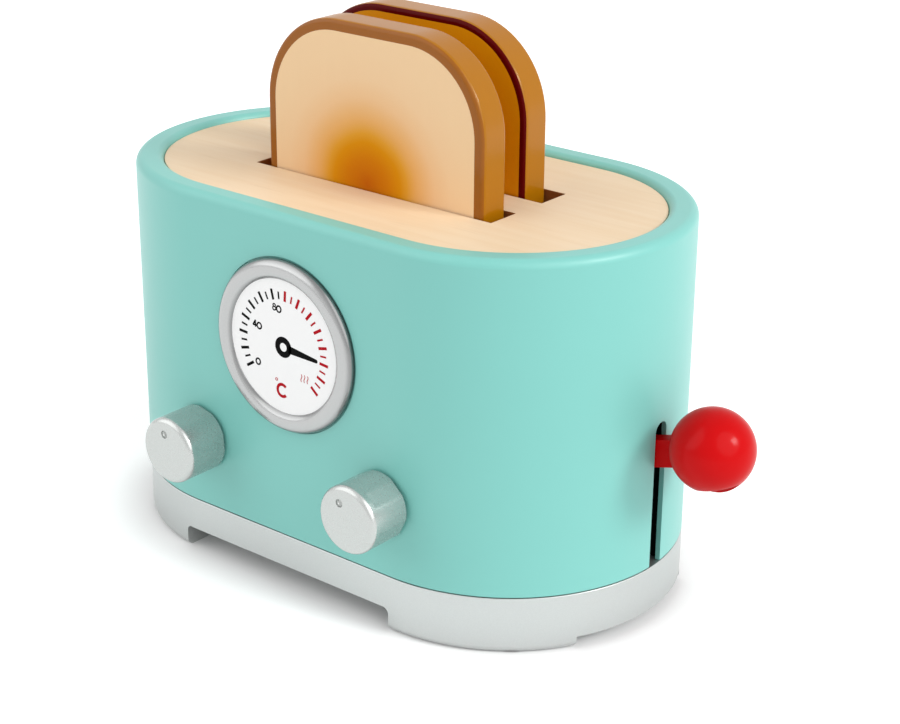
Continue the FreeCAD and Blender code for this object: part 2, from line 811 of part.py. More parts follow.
doc.recompute()
failed = [item.Name for item in doc.Objects if {"Invalid", "Error"} & set(item.State)]
if failed:
    raise RuntimeError(f"features that failed: {failed}")

os.makedirs("parts", exist_ok=True)
for node in nodes:
    shape = node.Shape
    if shape.isNull() or not shape.isValid() or not shape.Solids:
        raise RuntimeError(f"{node.Label} has no valid solid")
    shape.exportStep(f"parts/{node.Label}.step")
    box = shape.optimalBoundingBox()
    print(
        f"{node.Label:26} solids {len(shape.Solids):2}  volume {shape.Volume:9.0f}  "
        f"x {box.XMin:7.1f} {box.XMax:7.1f}  y {box.YMin:6.1f} {box.YMax:6.1f}  "
        f"z {box.ZMin:6.1f} {box.ZMax:6.1f}"
    )
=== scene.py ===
# %% [markdown]
# # A wooden toy toaster
# The toy is a painted wooden tube with round ends on a silver board. A red lever at its right end
# lifts two wooden slices of toast, two silver knobs turn, and a printed dial sits between them.
# An engineering model gives every part its place and its motion. This lesson dresses that model:
# it makes each visible part again with finer rounds, and gives each hidden part its finish.

# %% Load the engineering model
import math

import bmesh
import bpy
from mathutils import Matrix, Vector


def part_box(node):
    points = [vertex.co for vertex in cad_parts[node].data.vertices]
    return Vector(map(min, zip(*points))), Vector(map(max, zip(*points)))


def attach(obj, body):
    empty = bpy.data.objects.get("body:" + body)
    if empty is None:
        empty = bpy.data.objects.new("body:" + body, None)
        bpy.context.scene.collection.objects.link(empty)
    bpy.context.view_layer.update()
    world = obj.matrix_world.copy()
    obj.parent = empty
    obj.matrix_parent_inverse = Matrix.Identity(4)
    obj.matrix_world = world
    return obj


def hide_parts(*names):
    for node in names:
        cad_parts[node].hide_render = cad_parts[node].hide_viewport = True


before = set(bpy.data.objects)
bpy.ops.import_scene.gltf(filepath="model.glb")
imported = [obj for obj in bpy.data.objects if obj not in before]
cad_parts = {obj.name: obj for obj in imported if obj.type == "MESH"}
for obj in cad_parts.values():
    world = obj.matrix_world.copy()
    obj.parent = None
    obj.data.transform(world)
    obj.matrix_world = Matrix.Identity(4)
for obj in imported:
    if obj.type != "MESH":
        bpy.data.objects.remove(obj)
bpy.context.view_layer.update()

MM = 0.001

# %% [markdown]
# ## Node helpers
# Materials and Geometry Nodes are both networks of nodes. One class wraps an output socket, so
# that sums and products of sockets are written as ordinary Python. One method adds any node: it
# sets the node's own settings first, and then fills or links its input sockets.

# %% Wires and graphs
class Wire:
    """One output socket. An expression on wires adds the Math nodes that work it out."""

    def __init__(self, graph, socket):
        self.graph = graph
        self.socket = socket

    def math(self, operation, *values):
        numbered = dict(enumerate(values))
        return self.graph.add("ShaderNodeMath", {"operation": operation}, numbered)[0]

    def __add__(self, other):
        return self.math("ADD", self, other)

    def __radd__(self, other):
        return self.math("ADD", other, self)

    def __sub__(self, other):
        return self.math("SUBTRACT", self, other)

    def __rsub__(self, other):
        return self.math("SUBTRACT", other, self)

    def __mul__(self, other):
        return self.math("MULTIPLY", self, other)

    def __rmul__(self, other):
        return self.math("MULTIPLY", other, self)

    def __truediv__(self, other):
        return self.math("DIVIDE", self, other)

    def __gt__(self, other):
        return self.math("GREATER_THAN", self, other)


class Graph:
    """A node tree that grows through one method."""

    def __init__(self, tree):
        self.tree = tree
        tree.nodes.clear()

    def add(self, kind, settings=None, inputs=None):
        """Add a node and return its outputs as wires, by number and by name."""
        node = self.tree.nodes.new(kind)
        for name, value in (settings or {}).items():
            if name == "stops":
                set_stops(node.color_ramp, value)
            else:
                setattr(node, name, value)
        for key, value in (inputs or {}).items():
            if isinstance(value, Wire):
                self.tree.links.new(value.socket, node.inputs[key])
            else:
                node.inputs[key].default_value = value
        wires = dict(enumerate(Wire(self, socket) for socket in node.outputs))
        named = {socket.name: wires[number] for number, socket in enumerate(node.outputs)}
        return {**named, **wires}


def set_stops(ramp, stops):
    """Give a colour ramp its stops, each a place from 0 to 1 and a colour."""
    while len(ramp.elements) < len(stops):
        ramp.elements.new(1.0)
    for element, (place, colour) in zip(ramp.elements, stops):
        element.position = place
        element.color = colour


# %% [markdown]
# ## Finish helpers
# A finish starts from the Principled shader. Colours are written as everyday levels from 0 to 255
# and turned into the linear values that the shader works with. Fine detail comes from noise read
# in object coordinates, so that its grain is a real length and it stays put on the part.

# %% Finish helpers
def tint(red, green, blue):
    """A linear colour from levels between 0 and 255."""
    levels = [level / 255 for level in (red, green, blue)]
    return [((level + 0.055) / 1.055) ** 2.4 for level in levels] + [1.0]


def darker(colour, share):
    """A colour with this share of its light taken away."""
    return [level * (1 - share) for level in colour[:3]] + [1.0]


def new_finish(name):
    """An empty material and the graph that fills it."""
    finish = bpy.data.materials.new(name)
    finish.use_nodes = True
    return finish, Graph(finish.node_tree)


def shade(graph, inputs):
    """End a graph in one Principled shader."""
    shader = graph.add("ShaderNodeBsdfPrincipled", inputs=inputs)[0]
    graph.add("ShaderNodeOutputMaterial", inputs={0: shader})


def object_place(graph, stretch=(1, 1, 1)):
    """Object coordinates, squeezed along each axis."""
    place = graph.add("ShaderNodeTexCoord")["Object"]
    return graph.add("ShaderNodeMapping", inputs={"Vector": place, "Scale": stretch})[0]


def noise(graph, place, grain, detail=2.0, rough=0.5):
    """Noise from 0 to 1 with spots about one grain across, in metres."""
    inputs = {"Vector": place, "Scale": 1 / grain, "Detail": detail, "Roughness": rough}
    return graph.add("ShaderNodeTexNoise", inputs=inputs)[0]


def blend(graph, share, first, second):
    """A colour between two others."""
    inputs = {0: share, 6: first, 7: second}
    return graph.add("ShaderNodeMix", {"data_type": "RGBA"}, inputs)[2]


def dent(graph, height, depth):
    """A bump of that depth, in metres, where the height goes from 0 to 1."""
    return graph.add("ShaderNodeBump", inputs={"Strength": 1.0, "Distance": depth, "Height": height})[0]


def fade(graph, value, low, high):
    """Zero below low, one above high, smooth between."""
    inputs = {"Value": value, "From Min": low, "From Max": high}
    return graph.add("ShaderNodeMapRange", {"interpolation_type": "SMOOTHSTEP"}, inputs)[0]


def vector_math(graph, operation, *values):
    """One step of maths on vectors; its outputs are a Vector and a Value."""
    return graph.add("ShaderNodeVectorMath", {"operation": operation}, dict(enumerate(values)))


def from_axis(graph, place, centre):
    """The distance from the axis that runs through this centre from front to back."""
    away = vector_math(graph, "SUBTRACT", place, centre)[0]
    across = vector_math(graph, "MULTIPLY", away, (1.0, 0.0, 1.0))[0]
    return vector_math(graph, "LENGTH", across)["Value"]


# %% [markdown]
# ## Paint and metal
# The wall has a thick satin paint under a clear lacquer. Sprayed paint is never a mirror: it keeps
# a very fine orange peel, and its gloss varies a little. The same recipe with other levels gives
# the white dial and its ink, the toasted crumb, the crust and the moulded red plastic.

# %% Paint
drift_grain, peel_grain, gloss_grain, gloss_swing = 30 * MM, 1.6 * MM, 6 * MM, 0.06


def paint(name, colour, gloss, shift, peel_depth=0.004 * MM, shine=0.5, coat=0.0, coat_gloss=0.4):
    """An opaque paint or plastic with orange peel and a faint drift of colour."""
    finish, graph = new_finish(name)
    place = object_place(graph)
    drift = noise(graph, place, drift_grain)
    peel = noise(graph, place, peel_grain, detail=3.0)
    shade(graph, {
        "Base Color": blend(graph, drift, darker(colour, shift), colour),
        "Roughness": gloss + (noise(graph, place, gloss_grain) - 0.5) * gloss_swing,
        "Specular IOR Level": shine,
        "Coat Weight": coat,
        "Coat Roughness": coat_gloss,
        "Normal": dent(graph, peel, peel_depth),
    })
    return finish


# %% [markdown]
# The base board, the knobs and the ring carry a silver paint full of tiny metal flakes. The
# flakes are cells of a Voronoi pattern, each a shade lighter or darker and a little rougher than
# the next. From an arm's length they blend into one soft metal sheen. The knobs and the ring are
# polished further than the board. The ring's colour is darkened towards its two edges: painted shade.

# %% Silver paint
flake_size, ripple_grain = 0.2 * MM, 0.9 * MM
# The ring's painted shade: where it starts as a share of the half width, its strength, its darkness.
rim_unshaded, rim_share, rim_shade = 0.45, 0.7, 0.7


def silver(name, colour, gloss, metal, ripple_depth=0.0015 * MM, contrast=0.06, rim=None):
    """Fine metal flake paint; a rim (centre, radius and half width) gets painted shade at its edges."""
    finish, graph = new_finish(name)
    place = object_place(graph)
    cells = {"Vector": place, "Scale": 1 / flake_size}
    flakes = graph.add("ShaderNodeTexVoronoi", inputs=cells)["Color"]
    sparkle = graph.add("ShaderNodeSeparateColor", inputs={"Color": flakes})[0]
    tone = blend(graph, sparkle, darker(colour, contrast), colour)
    if rim:
        centre, radius, half = rim
        # Painted shade: the colour darkens towards both edges of the rim.
        off = from_axis(graph, place, centre) - radius
        edge_shade = fade(graph, off.math("ABSOLUTE", off), half * rim_unshaded, half)
        tone = blend(graph, edge_shade * rim_share, tone, darker(colour, rim_shade))
    shade(graph, {
        "Base Color": tone,
        "Metallic": metal,
        "Roughness": gloss + (sparkle - 0.5) * contrast,
        "Normal": dent(graph, noise(graph, place, ripple_grain), ripple_depth),
    })
    return finish


# %% [markdown]
# ## Wood
# Beech is pale, with long faint streaks and short dark flecks along the grain. Noise that is
# stretched along one axis makes both. The direction of the grain is a choice for each part: along
# the toy for flat boards, upright for dowels.

# %% Beech
streak_grain, cloud_grain, fleck_grain, grain_squeeze, grain_depth = (
    3.5 * MM, 30 * MM, 1.1 * MM, 0.06, 0.03 * MM
)


def beech(name, pale, dark, along, strength):
    """Bare or lacquered beech with its grain along one axis."""
    finish, graph = new_finish(name)
    stretch = [1.0, 1.0, 1.0]
    stretch["XYZ".index(along)] = grain_squeeze
    place = object_place(graph, stretch)
    streaks = noise(graph, place, streak_grain, detail=5.0, rough=0.6)
    clouds = noise(graph, object_place(graph), cloud_grain)
    flecks = fade(graph, noise(graph, place, fleck_grain), 0.62, 0.74)
    share = fade(graph, streaks * 0.6 + clouds * 0.4, 0.35, 0.68) * strength
    body = blend(graph, share, pale, dark)
    shade(graph, {
        "Base Color": blend(graph, flecks * 0.25 * strength, body, darker(dark, 0.3)),
        "Roughness": 0.5 + streaks * 0.12,
        "Normal": dent(graph, streaks * 0.5 + flecks * -0.5, grain_depth),
    })
    return finish


# %% [markdown]
# ## Small finishes
# The hidden fittings get their own finishes too, because the slots and the underside show them:
# zinc-plated steel, black rubber, white nylon and grey felt.

# %% Small finishes
def zinc():
    """Zinc plate: a soft metal with a cloudy, slightly bluish shine."""
    finish, graph = new_finish("zinc_steel")
    place = object_place(graph)
    cloud = noise(graph, place, 2 * MM, detail=4.0)
    shade(graph, {
        "Base Color": blend(graph, cloud, tint(170, 174, 180), tint(214, 216, 220)),
        "Metallic": 1.0,
        "Roughness": 0.28 + cloud * 0.2,
        "Normal": dent(graph, noise(graph, place, 0.4 * MM), 0.005 * MM),
    })
    return finish


def matt(name, low, high, rough, grain, depth, shine=0.5):
    """A matt material with a mottled colour and a visible grain."""
    finish, graph = new_finish(name)
    place = object_place(graph)
    mottle = noise(graph, place, grain, detail=4.0, rough=0.7)
    shade(graph, {
        "Base Color": blend(graph, fade(graph, mottle, 0.3, 0.7), low, high),
        "Roughness": rough,
        "Specular IOR Level": shine,
        "Normal": dent(graph, mottle, depth),
    })
    return finish


TEAL = paint("teal_paint", tint(127, 203, 194), 0.42, shift=0.02, coat=0.3)
# A near-black matt coat without shine for the inside of the wall: painted shade.
SHADOW_PAINT = matt("inner_painted_shade", tint(10, 16, 16), tint(18, 26, 26), 0.9, 4 * MM, 0.01 * MM, shine=0.0)
SILVER = silver("silver_paint", tint(197, 200, 199), 0.4, 0.85)
KNOB_SILVER = silver("knob_silver", tint(193, 196, 194), 0.26, 0.75, 0.0016 * MM, 0.03)
PLATE_WOOD = beech("plate_beech", tint(243, 219, 186), tint(234, 203, 161), "X", 0.45)
# Darker beech for the walls of the bread slots: painted shade.
SHADED_SLOT_WOOD = beech("slot_beech_shaded", tint(166, 102, 48), tint(122, 66, 26), "X", 0.6)
BOARD_WOOD = beech("board_beech", tint(226, 190, 148), tint(198, 156, 112), "X", 0.9)
DOWEL_WOOD = beech("dowel_beech", tint(226, 190, 148), tint(198, 156, 112), "Z", 0.9)
RED = paint(
    "red_plastic", tint(208, 0, 7), 0.3, peel_depth=0.0, shift=0.03, shine=0.04, coat=0.16,
    coat_gloss=0.13,
)
ZINC = zinc()
FELT = matt("grey_felt", tint(38, 39, 42), tint(74, 75, 80), 0.95, 0.6 * MM, 0.1 * MM)
RUBBER = matt("black_rubber", tint(20, 20, 20), tint(34, 34, 35), 0.8, 0.8 * MM, 0.02 * MM)
NYLON = matt("white_nylon", tint(226, 226, 221), tint(238, 238, 234), 0.45, 1 * MM, 0.01 * MM)
print("finishes:", len(bpy.data.materials))

# %% [markdown]
# ## Shaping helpers
# Most parts here are skins through equal rings: a stadium that grows and shrinks, a knob, a turned
# ring. One function joins rings of points into faces. Another cuts solids from a part. Two more
# round and smooth its edges, and the last gives it its finish and its place in the model.

# %% Shaping helpers
def loft(rings, caps=True):
    """Points and faces of a skin through equal rings, with flat ends if it has caps."""
    count = len(rings[0])
    points = [point for ring in rings for point in ring]
    faces = []
    for row in range(len(rings) - 1):
        for column in range(count):
            low, after = row * count, (column + 1) % count
            faces.append((low + column, low + after, low + count + after, low + count + column))
    if caps:
        top = (len(rings) - 1) * count
        faces += [tuple(range(count))[::-1], tuple(range(top, top + count))]
    return points, faces


def closed_loft(rings):
    """A skin whose last ring joins the first, such as a turned ring."""
    return loft(rings + rings[:1], caps=False)


same_place = 0.0001 * MM


def add_object(name, data):
    """A new object in the scene that shows a mesh, a lamp or a lens."""
    item = bpy.data.objects.new(name, data)
    bpy.context.scene.collection.objects.link(item)
    return item


def mesh_object(name, points, faces=()):
    """A mesh object from points and faces, just as they are."""
    mesh = bpy.data.meshes.new(name)
    mesh.from_pydata([tuple(point) for point in points], [], faces)
    return add_object(name, mesh)


def solid(name, points, faces):
    """A mesh object with its doubles merged and its faces turned outwards."""
    item = mesh_object(name, points, faces)
    shape = bmesh.new()
    shape.from_mesh(item.data)
    bmesh.ops.remove_doubles(shape, verts=shape.verts, dist=same_place)
    bmesh.ops.recalc_face_normals(shape, faces=shape.faces)
    shape.to_mesh(item.data)
    shape.free()
    return item


def modify(item, kind, **settings):
    """Put a modifier on an object and give it its settings."""
    step = item.modifiers.new(kind, kind)
    for name, value in settings.items():
        setattr(step, name, value)
    return step


def settle(item):
    """Work the modifiers of an object into one plain mesh."""
    depsgraph = bpy.context.evaluated_depsgraph_get()
    mesh = bpy.data.meshes.new_from_object(item.evaluated_get(depsgraph), depsgraph=depsgraph)
    item.modifiers.clear()
    item.data = mesh
    return item


def box(name, low, high):
    """A plain block between two corners, for cutting."""
    (left, front, bottom), (right, back, top) = low, high
    sides = [(left, front), (right, front), (right, back), (left, back)]
    return solid(name, *loft([[(x, y, z) for x, y in sides] for z in (bottom, top)]))


def rod(name, radius, start, end, sides=64):
    """A plain cylinder between two points, for cutting."""
    start, end = Vector(start), Vector(end)
    turn = (end - start).to_track_quat("Z", "Y")
    steps = [math.tau * step / sides for step in range(sides)]
    rings = [
        [centre + turn @ Vector((radius * math.cos(a), radius * math.sin(a), 0)) for a in steps]
        for centre in (start, end)
    ]
    return solid(name, *loft(rings))


def carve(item, *tools, operation="DIFFERENCE"):
    """Cut the tools out of an object, or join them to it, and throw the tools away."""
    for tool in tools:
        modify(item, "BOOLEAN", operation=operation, solver="EXACT", object=tool)
    settle(item)
    for tool in tools:
        bpy.data.objects.remove(tool)


def soften(item, width, angle, steps=2):
    """Round the edges of an object that are sharper than an angle in degrees."""
    limits = {"limit_method": "ANGLE", "angle_limit": math.radians(angle)}
    modify(item, "BEVEL", width=width, segments=steps, harden_normals=False, **limits)
    settle(item)


def polish(item, angle=32):
    """Smooth shading that keeps flat faces flat and sharp edges sharp."""
    item.data.shade_smooth()
    item.data.set_sharp_from_angle(angle=math.radians(angle))
    modify(item, "WEIGHTED_NORMAL", keep_sharp=True)
    return settle(item)


def set_finishes(item, finishes):
    """Replace all the finishes of an object; its faces get their numbers after this, not before."""
    item.data.materials.clear()
    for finish in finishes:
        item.data.materials.append(finish)


def place_part(item, body, slot, *finishes, nodes=()):
    """Give a part its finish, if it has none yet, its body and the parts it stands for."""
    if finishes:
        set_finishes(item, finishes)
    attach(item, body)
    if nodes:
        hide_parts(*nodes)
    print(f"{item.name}: {len(item.data.polygons)} faces on {body}")


# %% [markdown]
# ## Geometry Nodes helper
# What repeats or follows a rule is made by Geometry Nodes: the rounded wall, the ticks of the
# dial, the screws. A tree is built here in the script with named inputs. The modifier is given
# its values by each input's identifier, and its result is then kept as a plain mesh.

# %% Geometry Nodes helper
SOCKET_KINDS = {
    float: "NodeSocketFloat", int: "NodeSocketInt", bpy.types.Material: "NodeSocketMaterial",
}


def grow(name, build, **sizes):
    """Build a tree with named inputs, run it, and keep its result as a mesh object."""
    tree = bpy.data.node_groups.new(name, "GeometryNodeTree")
    tree.interface.new_socket("Geometry", in_out="OUTPUT", socket_type="NodeSocketGeometry")
    identifiers = {}
    for title, value in sizes.items():
        kind = SOCKET_KINDS[type(value)]
        socket = tree.interface.new_socket(title, in_out="INPUT", socket_type=kind)
        identifiers[socket.identifier] = value
    graph = Graph(tree)
    size = graph.add("NodeGroupInput")
    real = graph.add("GeometryNodeRealizeInstances", inputs={0: build(graph, size)})[0]
    dressed = {"Geometry": real, "Material": size["finish"]}
    graph.add("NodeGroupOutput", inputs={0: graph.add("GeometryNodeSetMaterial", inputs=dressed)[0]})
    item = mesh_object(name, [])
    step = modify(item, "NODES", node_group=tree)
    for identifier, value in identifiers.items():
        step[identifier] = value
    return settle(item)


# %% [markdown]
# ## The wall
# The wall is one tube with straight sides and half-round ends. Its shape follows a rule: a section
# of the wall is swept round a stadium. The section is a tall rectangle with a round on each
# corner: generous ones on the rim, and tiny ones at the seam. The wall and the board under it are
# painted apart, so a hair's breadth is left between them, which shows as a dark line.

# %% The rounded wall
shell_low, shell_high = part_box("body_shell")
base_low, base_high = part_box("base_board")
plate_low, plate_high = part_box("top_plate")
end_radius = shell_high.y
half_straight = shell_high.x - end_radius
inner_radius = plate_high.y + 0.1 * MM
wall_thick = end_radius - inner_radius
rim_outer, rim_inner, seam_round, seam_gap = 2.8 * MM, 2.4 * MM, 0.25 * MM, 0.3 * MM
end_steps, edge_steps = 60, 10


def wall_tree(graph, size):
    """Sweep the wall's section round a stadium."""
    middle = size["radius"] - size["wall"] / 2
    frame_size = {"Width": (size["straight"] + middle) * 2, "Height": middle * 2}
    outline = graph.add("GeometryNodeCurvePrimitiveQuadrilateral", inputs=frame_size)[0]
    rounding = {"Curve": outline, "Count": end_steps, "Radius": middle, "Limit Radius": True}
    stadium = graph.add("GeometryNodeFilletCurve", {"mode": "POLY"}, rounding)[0]
    path = graph.add("GeometryNodeResampleCurve", inputs={"Curve": stadium, "Count": size["steps"]})[0]
    lift = graph.add("ShaderNodeCombineXYZ", inputs={"Z": (size["top"] + size["bottom"]) / 2})[0]
    raised = graph.add("GeometryNodeSetPosition", inputs={"Geometry": path, "Offset": lift})[0]

    section_size = {"Width": size["wall"], "Height": size["top"] - size["bottom"]}
    section = graph.add("GeometryNodeCurvePrimitiveQuadrilateral", inputs=section_size)[0]
    place = graph.add("GeometryNodeInputPosition")[0]
    corner = graph.add("ShaderNodeSeparateXYZ", inputs={0: place})
    outer, above = corner["X"] > 0.0, 1 - (corner["Y"] > 0.0)
    rim = outer * size["outer_round"] + (1 - outer) * size["inner_round"]
    corner_round = above * rim + (1 - above) * size["seam_round"]
    rounding = {"Curve": section, "Count": edge_steps, "Radius": corner_round, "Limit Radius": True}
    rounded = graph.add("GeometryNodeFilletCurve", {"mode": "POLY"}, rounding)[0]
    return graph.add("GeometryNodeCurveToMesh", inputs={"Curve": raised, "Profile Curve": rounded})[0]


wall = grow(
    "body_wall", wall_tree, straight=half_straight, radius=end_radius, wall=wall_thick,
    bottom=shell_low.z + seam_gap / 2, top=shell_high.z, outer_round=rim_outer, inner_round=rim_inner,
    seam_round=seam_round, steps=480, finish=TEAL,
)
print("wall points:", len(wall.data.vertices))

# %% [markdown]
# The wall has a slot for the lever, open at its foot and wider behind a thin lip, a shallow round
# seat for the dial, and a hole for each knob shaft. They are cut with plain blocks and rods. A
# fine bevel then takes the harshness off every cut edge, as a coat of paint does. Every face
# inside the wall, and the walls of the pocket behind the lip, get a near-black matt coat without
# shine: painted shade.

# %% Openings in the wall
bar_low, bar_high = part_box("lever_bar")
disc_low, disc_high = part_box("dial_face")
dial_up = (disc_low.z + disc_high.z) / 2
dial_radius = disc_high.x
lever_back = (bar_low.y + bar_high.y) / 2
front, right_end = -end_radius, half_straight + end_radius
outside, fit, near, rim_margin = 10 * MM, 0.1 * MM, 0.1 * MM, 1 * MM
slot_half, slot_top, pocket_room, slot_lip = 2.9 * MM, 64.8 * MM, 1.5 * MM, 1.8 * MM
seat_depth, groove_radius, groove_depth = 3 * MM, 27.25 * MM, 0.7 * MM
shaft_hole_radius, paint_round = 3.06 * MM, 0.15 * MM

slot_shoulder, slot_out, pocket_out = slot_top - slot_half, right_end + outside, right_end - slot_lip
slot_low = (half_straight, lever_back - slot_half, shell_low.z - outside)
slot_high = (slot_out, lever_back + slot_half, slot_shoulder)
slot_line = [(x, lever_back, slot_shoulder) for x in (half_straight, slot_out)]
tools = [box("slot_tool", slot_low, slot_high), rod("slot_round", slot_half, *slot_line)]
for name, radius, depth, sides in (
    ("groove_tool", groove_radius, groove_depth, 192),
    ("seat_tool", dial_radius + fit, seat_depth, 128),
):
    ends = [(0, y, dial_up) for y in (front - outside, front + depth)]
    tools.append(rod(name, radius, *ends, sides=sides))
carve(wall, *tools)

pocket_low = (half_straight, slot_low[1] - pocket_room, slot_low[2])
pocket_high = (pocket_out, slot_high[1] + pocket_room, slot_top)
tools = [box("pocket_tool", pocket_low, pocket_high)]
for side in ("left", "right"):
    low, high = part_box(f"knob_shaft_{side}")
    middle = (low + high) / 2
    ends = [(middle.x, y, middle.z) for y in (front - outside, outside - inner_radius)]
    tools.append(rod(f"shaft_tool_{side}", shaft_hole_radius, *ends))
carve(wall, *tools)

soften(wall, paint_round, angle=60)
# Faces inside the wall and in the pocket behind the lip get the painted shade.
wall.data.materials.append(SHADOW_PAINT)
for face in wall.data.polygons:
    past = max(abs(face.center.x) - half_straight, 0.0)
    inside = math.hypot(past, face.center.y) < inner_radius + 2 * near
    in_width = pocket_low[1] - near < face.center.y < pocket_high[1] + near
    in_pocket = in_width and half_straight < face.center.x < pocket_out + near
    if (inside or in_pocket) and face.center.z < plate_high.z - rim_margin:
        face.material_index = 1
place_part(polish(wall), "housing", "teal_paint", nodes=["body_shell"])

# %% [markdown]
# ## The base board
# The board is as wide as the wall and sits under it. It is a stack of stadiums: small ones where
# its lower and upper edges are rounded off, full size between. Shallow arches are cut under its
# long sides and its ends, so that it seems to stand on feet, and each screw has a round sink.

# %% The base board
def stadium(radius, height, steps=96):
    """A ring of points round a stadium at one height."""
    ring = []
    for side in (1, -1):
        for step in range(steps + 1):
            turn = math.pi * (step / steps - side / 2)
            across = side * half_straight + radius * math.cos(turn)
            ring.append((across, radius * math.sin(turn), height))
    return ring


def rounded_edge(radius, height, size, way, steps=10):
    """Radius and height along a round that ends flat; way is 1 for an upper edge, -1 for a lower."""
    edge = []
    for step in range(steps + 1):
        turn = math.pi / 2 * step / steps
        inset, drop = size * (1 - math.cos(turn)), size * (1 - math.sin(turn))
        edge.append((radius - inset, height - way * drop))
    return edge if way > 0 else edge[::-1]


foot_round, arch_round, sharp_edge = 2.5 * MM, 2 * MM, 0.35 * MM
arch_left, arch_right, arch_height, arch_depth = -46 * MM, 39 * MM, 7.5 * MM, 20 * MM
end_arch_half, end_arch_height, end_arch_depth = 27.2 * MM, 3.75 * MM, 12 * MM
board_edge = rounded_edge(end_radius, base_low.z, foot_round, -1)
board_edge += rounded_edge(end_radius, base_high.z - seam_gap / 2, seam_round, 1)
board = solid("base_board_painted", *loft([stadium(radius, height) for radius, height in board_edge]))

arch_tools = []
for way in (-1, 1):
    reach = sorted((way * (end_radius - arch_depth), way * (end_radius + outside)))
    arch = box("arch_tool", (arch_left, reach[0], -outside), (arch_right, reach[1], arch_height))
    modify(arch, "BEVEL", width=arch_round, segments=6)
    arch_tools.append(settle(arch))
    reach = sorted((way * (base_high.x - end_arch_depth), way * (base_high.x + outside)))
    low, high = (reach[0], -end_arch_half, -outside), (reach[1], end_arch_half, end_arch_height)
    arch_tools.append(box("end_arch_tool", low, high))

wall_middle = end_radius - wall_thick / 2
wall_angle = math.radians(50)
wall_screw = (half_straight + wall_middle * math.cos(wall_angle), wall_middle * math.sin(wall_angle))
pillar_low, pillar_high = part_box("plate_pillar_rear_right")
pillar_screw = ((pillar_low.x + pillar_high.x) / 2, (pillar_low.y + pillar_high.y) / 2)
screw_places = [
    (x * side, y * way) for x, y in (wall_screw, pillar_screw) for side in (1, -1) for way in (1, -1)
]
for cheek in ("pivot_cheek_front", "pivot_cheek_rear"):
    low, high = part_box(cheek)
    middle = (low + high) / 2
    quarter = (high.x - low.x) / 4
    screw_places += [(middle.x - quarter, middle.y), (middle.x + quarter, middle.y)]
sink_radius, sink_depth = 3.7 * MM, 9 * MM
sinks = [
    rod("sink_tool", sink_radius, (x, y, -outside), (x, y, sink_depth), sides=48)
    for x, y in screw_places
]
carve(board, *arch_tools, *sinks)
soften(board, sharp_edge, angle=50)
place_part(polish(board), "housing", "silver_paint", SILVER, nodes=["base_board"])

# %% [markdown]
# ## The top plate
# A pale beech board is let into the top of the wall with two bread slots. Its edges are almost
# sharp: only about a third of a millimetre is taken off. The walls of the slots get a darker
# brown beech of their own: painted shade, for the shade deep in the slots.

# %% The top plate
slot_middle, slot_width, slot_length = 12.2 * MM, 11.8 * MM, 92.8 * MM
plate = solid(
    "top_plate_beech",
    *loft([stadium(plate_high.y, height) for height in (plate_low.z, plate_high.z)]),
)
slot_tools = []
for way in (-1, 1):
    low = (-slot_length / 2, way * slot_middle - slot_width / 2, plate_low.z - outside)
    high = (slot_length / 2, way * slot_middle + slot_width / 2, plate_high.z + outside)
    slot_tools.append(box("bread_slot_tool", low, high))
carve(plate, *slot_tools)
soften(plate, sharp_edge, angle=50)
set_finishes(plate, (PLATE_WOOD, SHADED_SLOT_WOOD))
# The walls of the slots get the darker beech, which is painted shade.
for face in plate.data.polygons:
    in_width = abs(abs(face.center.y) - slot_middle) < slot_width / 2 + near
    in_slot = in_width and abs(face.center.x) < slot_length / 2 + near
    face.material_index = 1 if in_slot and abs(face.normal.z) < 0.5 else 0
place_part(polish(plate), "housing", "pale_beech", nodes=["top_plate"])

# %% [markdown]
# ## The screws
# Twelve like countersunk screws hold the toy together from below. One screw is made as a mesh
# with a cross recess, and a Geometry Nodes tree puts it at every place: a point for each screw,
# an instance on each point.

# %% The screws
def turned(profile, steps):
    """Rings of a turned shape about Z, from a profile of radius and height."""
    turns = [math.tau * step / steps for step in range(steps)]
    return [
        [(radius * math.cos(a), radius * math.sin(a), height) for a in turns]
        for radius, height in profile
    ]


screw_low, screw_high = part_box("wood_screws")
screw_length = screw_high.z - screw_low.z
head_radius, shank_radius, tip_radius, head_rim = 3.5 * MM, 1.75 * MM, 0.2 * MM, 0.3 * MM
thread_pitch, thread_depth = 2.0 * MM, 0.3 * MM
head_face = head_radius * 0.94
thread_profile = [(head_face, 0.0), (head_radius, head_rim * 0.5), (head_radius, head_rim)]
thread_profile += [(shank_radius, head_rim + head_radius - shank_radius)]
height = thread_profile[-1][1] + thread_pitch
while height < screw_length - 2 * thread_pitch:
    thread_profile += [(shank_radius - thread_depth, height), (shank_radius, height + thread_pitch / 2)]
    height += thread_pitch
thread_profile += [(shank_radius - thread_depth, height), (tip_radius, screw_length)]
screw = solid("screw", *loft(turned(thread_profile, steps=32)))
recess_half, recess_width, recess_depth = 2.0 * MM, 0.45 * MM, 1.4 * MM
recess = [
    box("recess_tool", (-x, -y, -outside), (x, y, recess_depth))
    for x, y in ((recess_half, recess_width), (recess_width, recess_half))
]
carve(screw, *recess)


def screw_tree(graph, size):
    """The screw at every place, read from the points of the places' own mesh."""
    places = graph.add("GeometryNodeObjectInfo", inputs={"Object": bpy.data.objects["screw_places"]})
    one = graph.add("GeometryNodeObjectInfo", inputs={"Object": bpy.data.objects["screw"]})
    spread = {"Points": places["Geometry"], "Instance": one["Geometry"]}
    return graph.add("GeometryNodeInstanceOnPoints", inputs=spread)[0]


screw_points = mesh_object("screw_places", [(x, y, screw_low.z) for x, y in screw_places])
screws = grow("wood_screws_zinc", screw_tree, finish=ZINC)
for helper in (screw, screw_points):
    bpy.data.objects.remove(helper)
place_part(polish(screws), "housing", "zinc_steel", nodes=["wood_screws"])

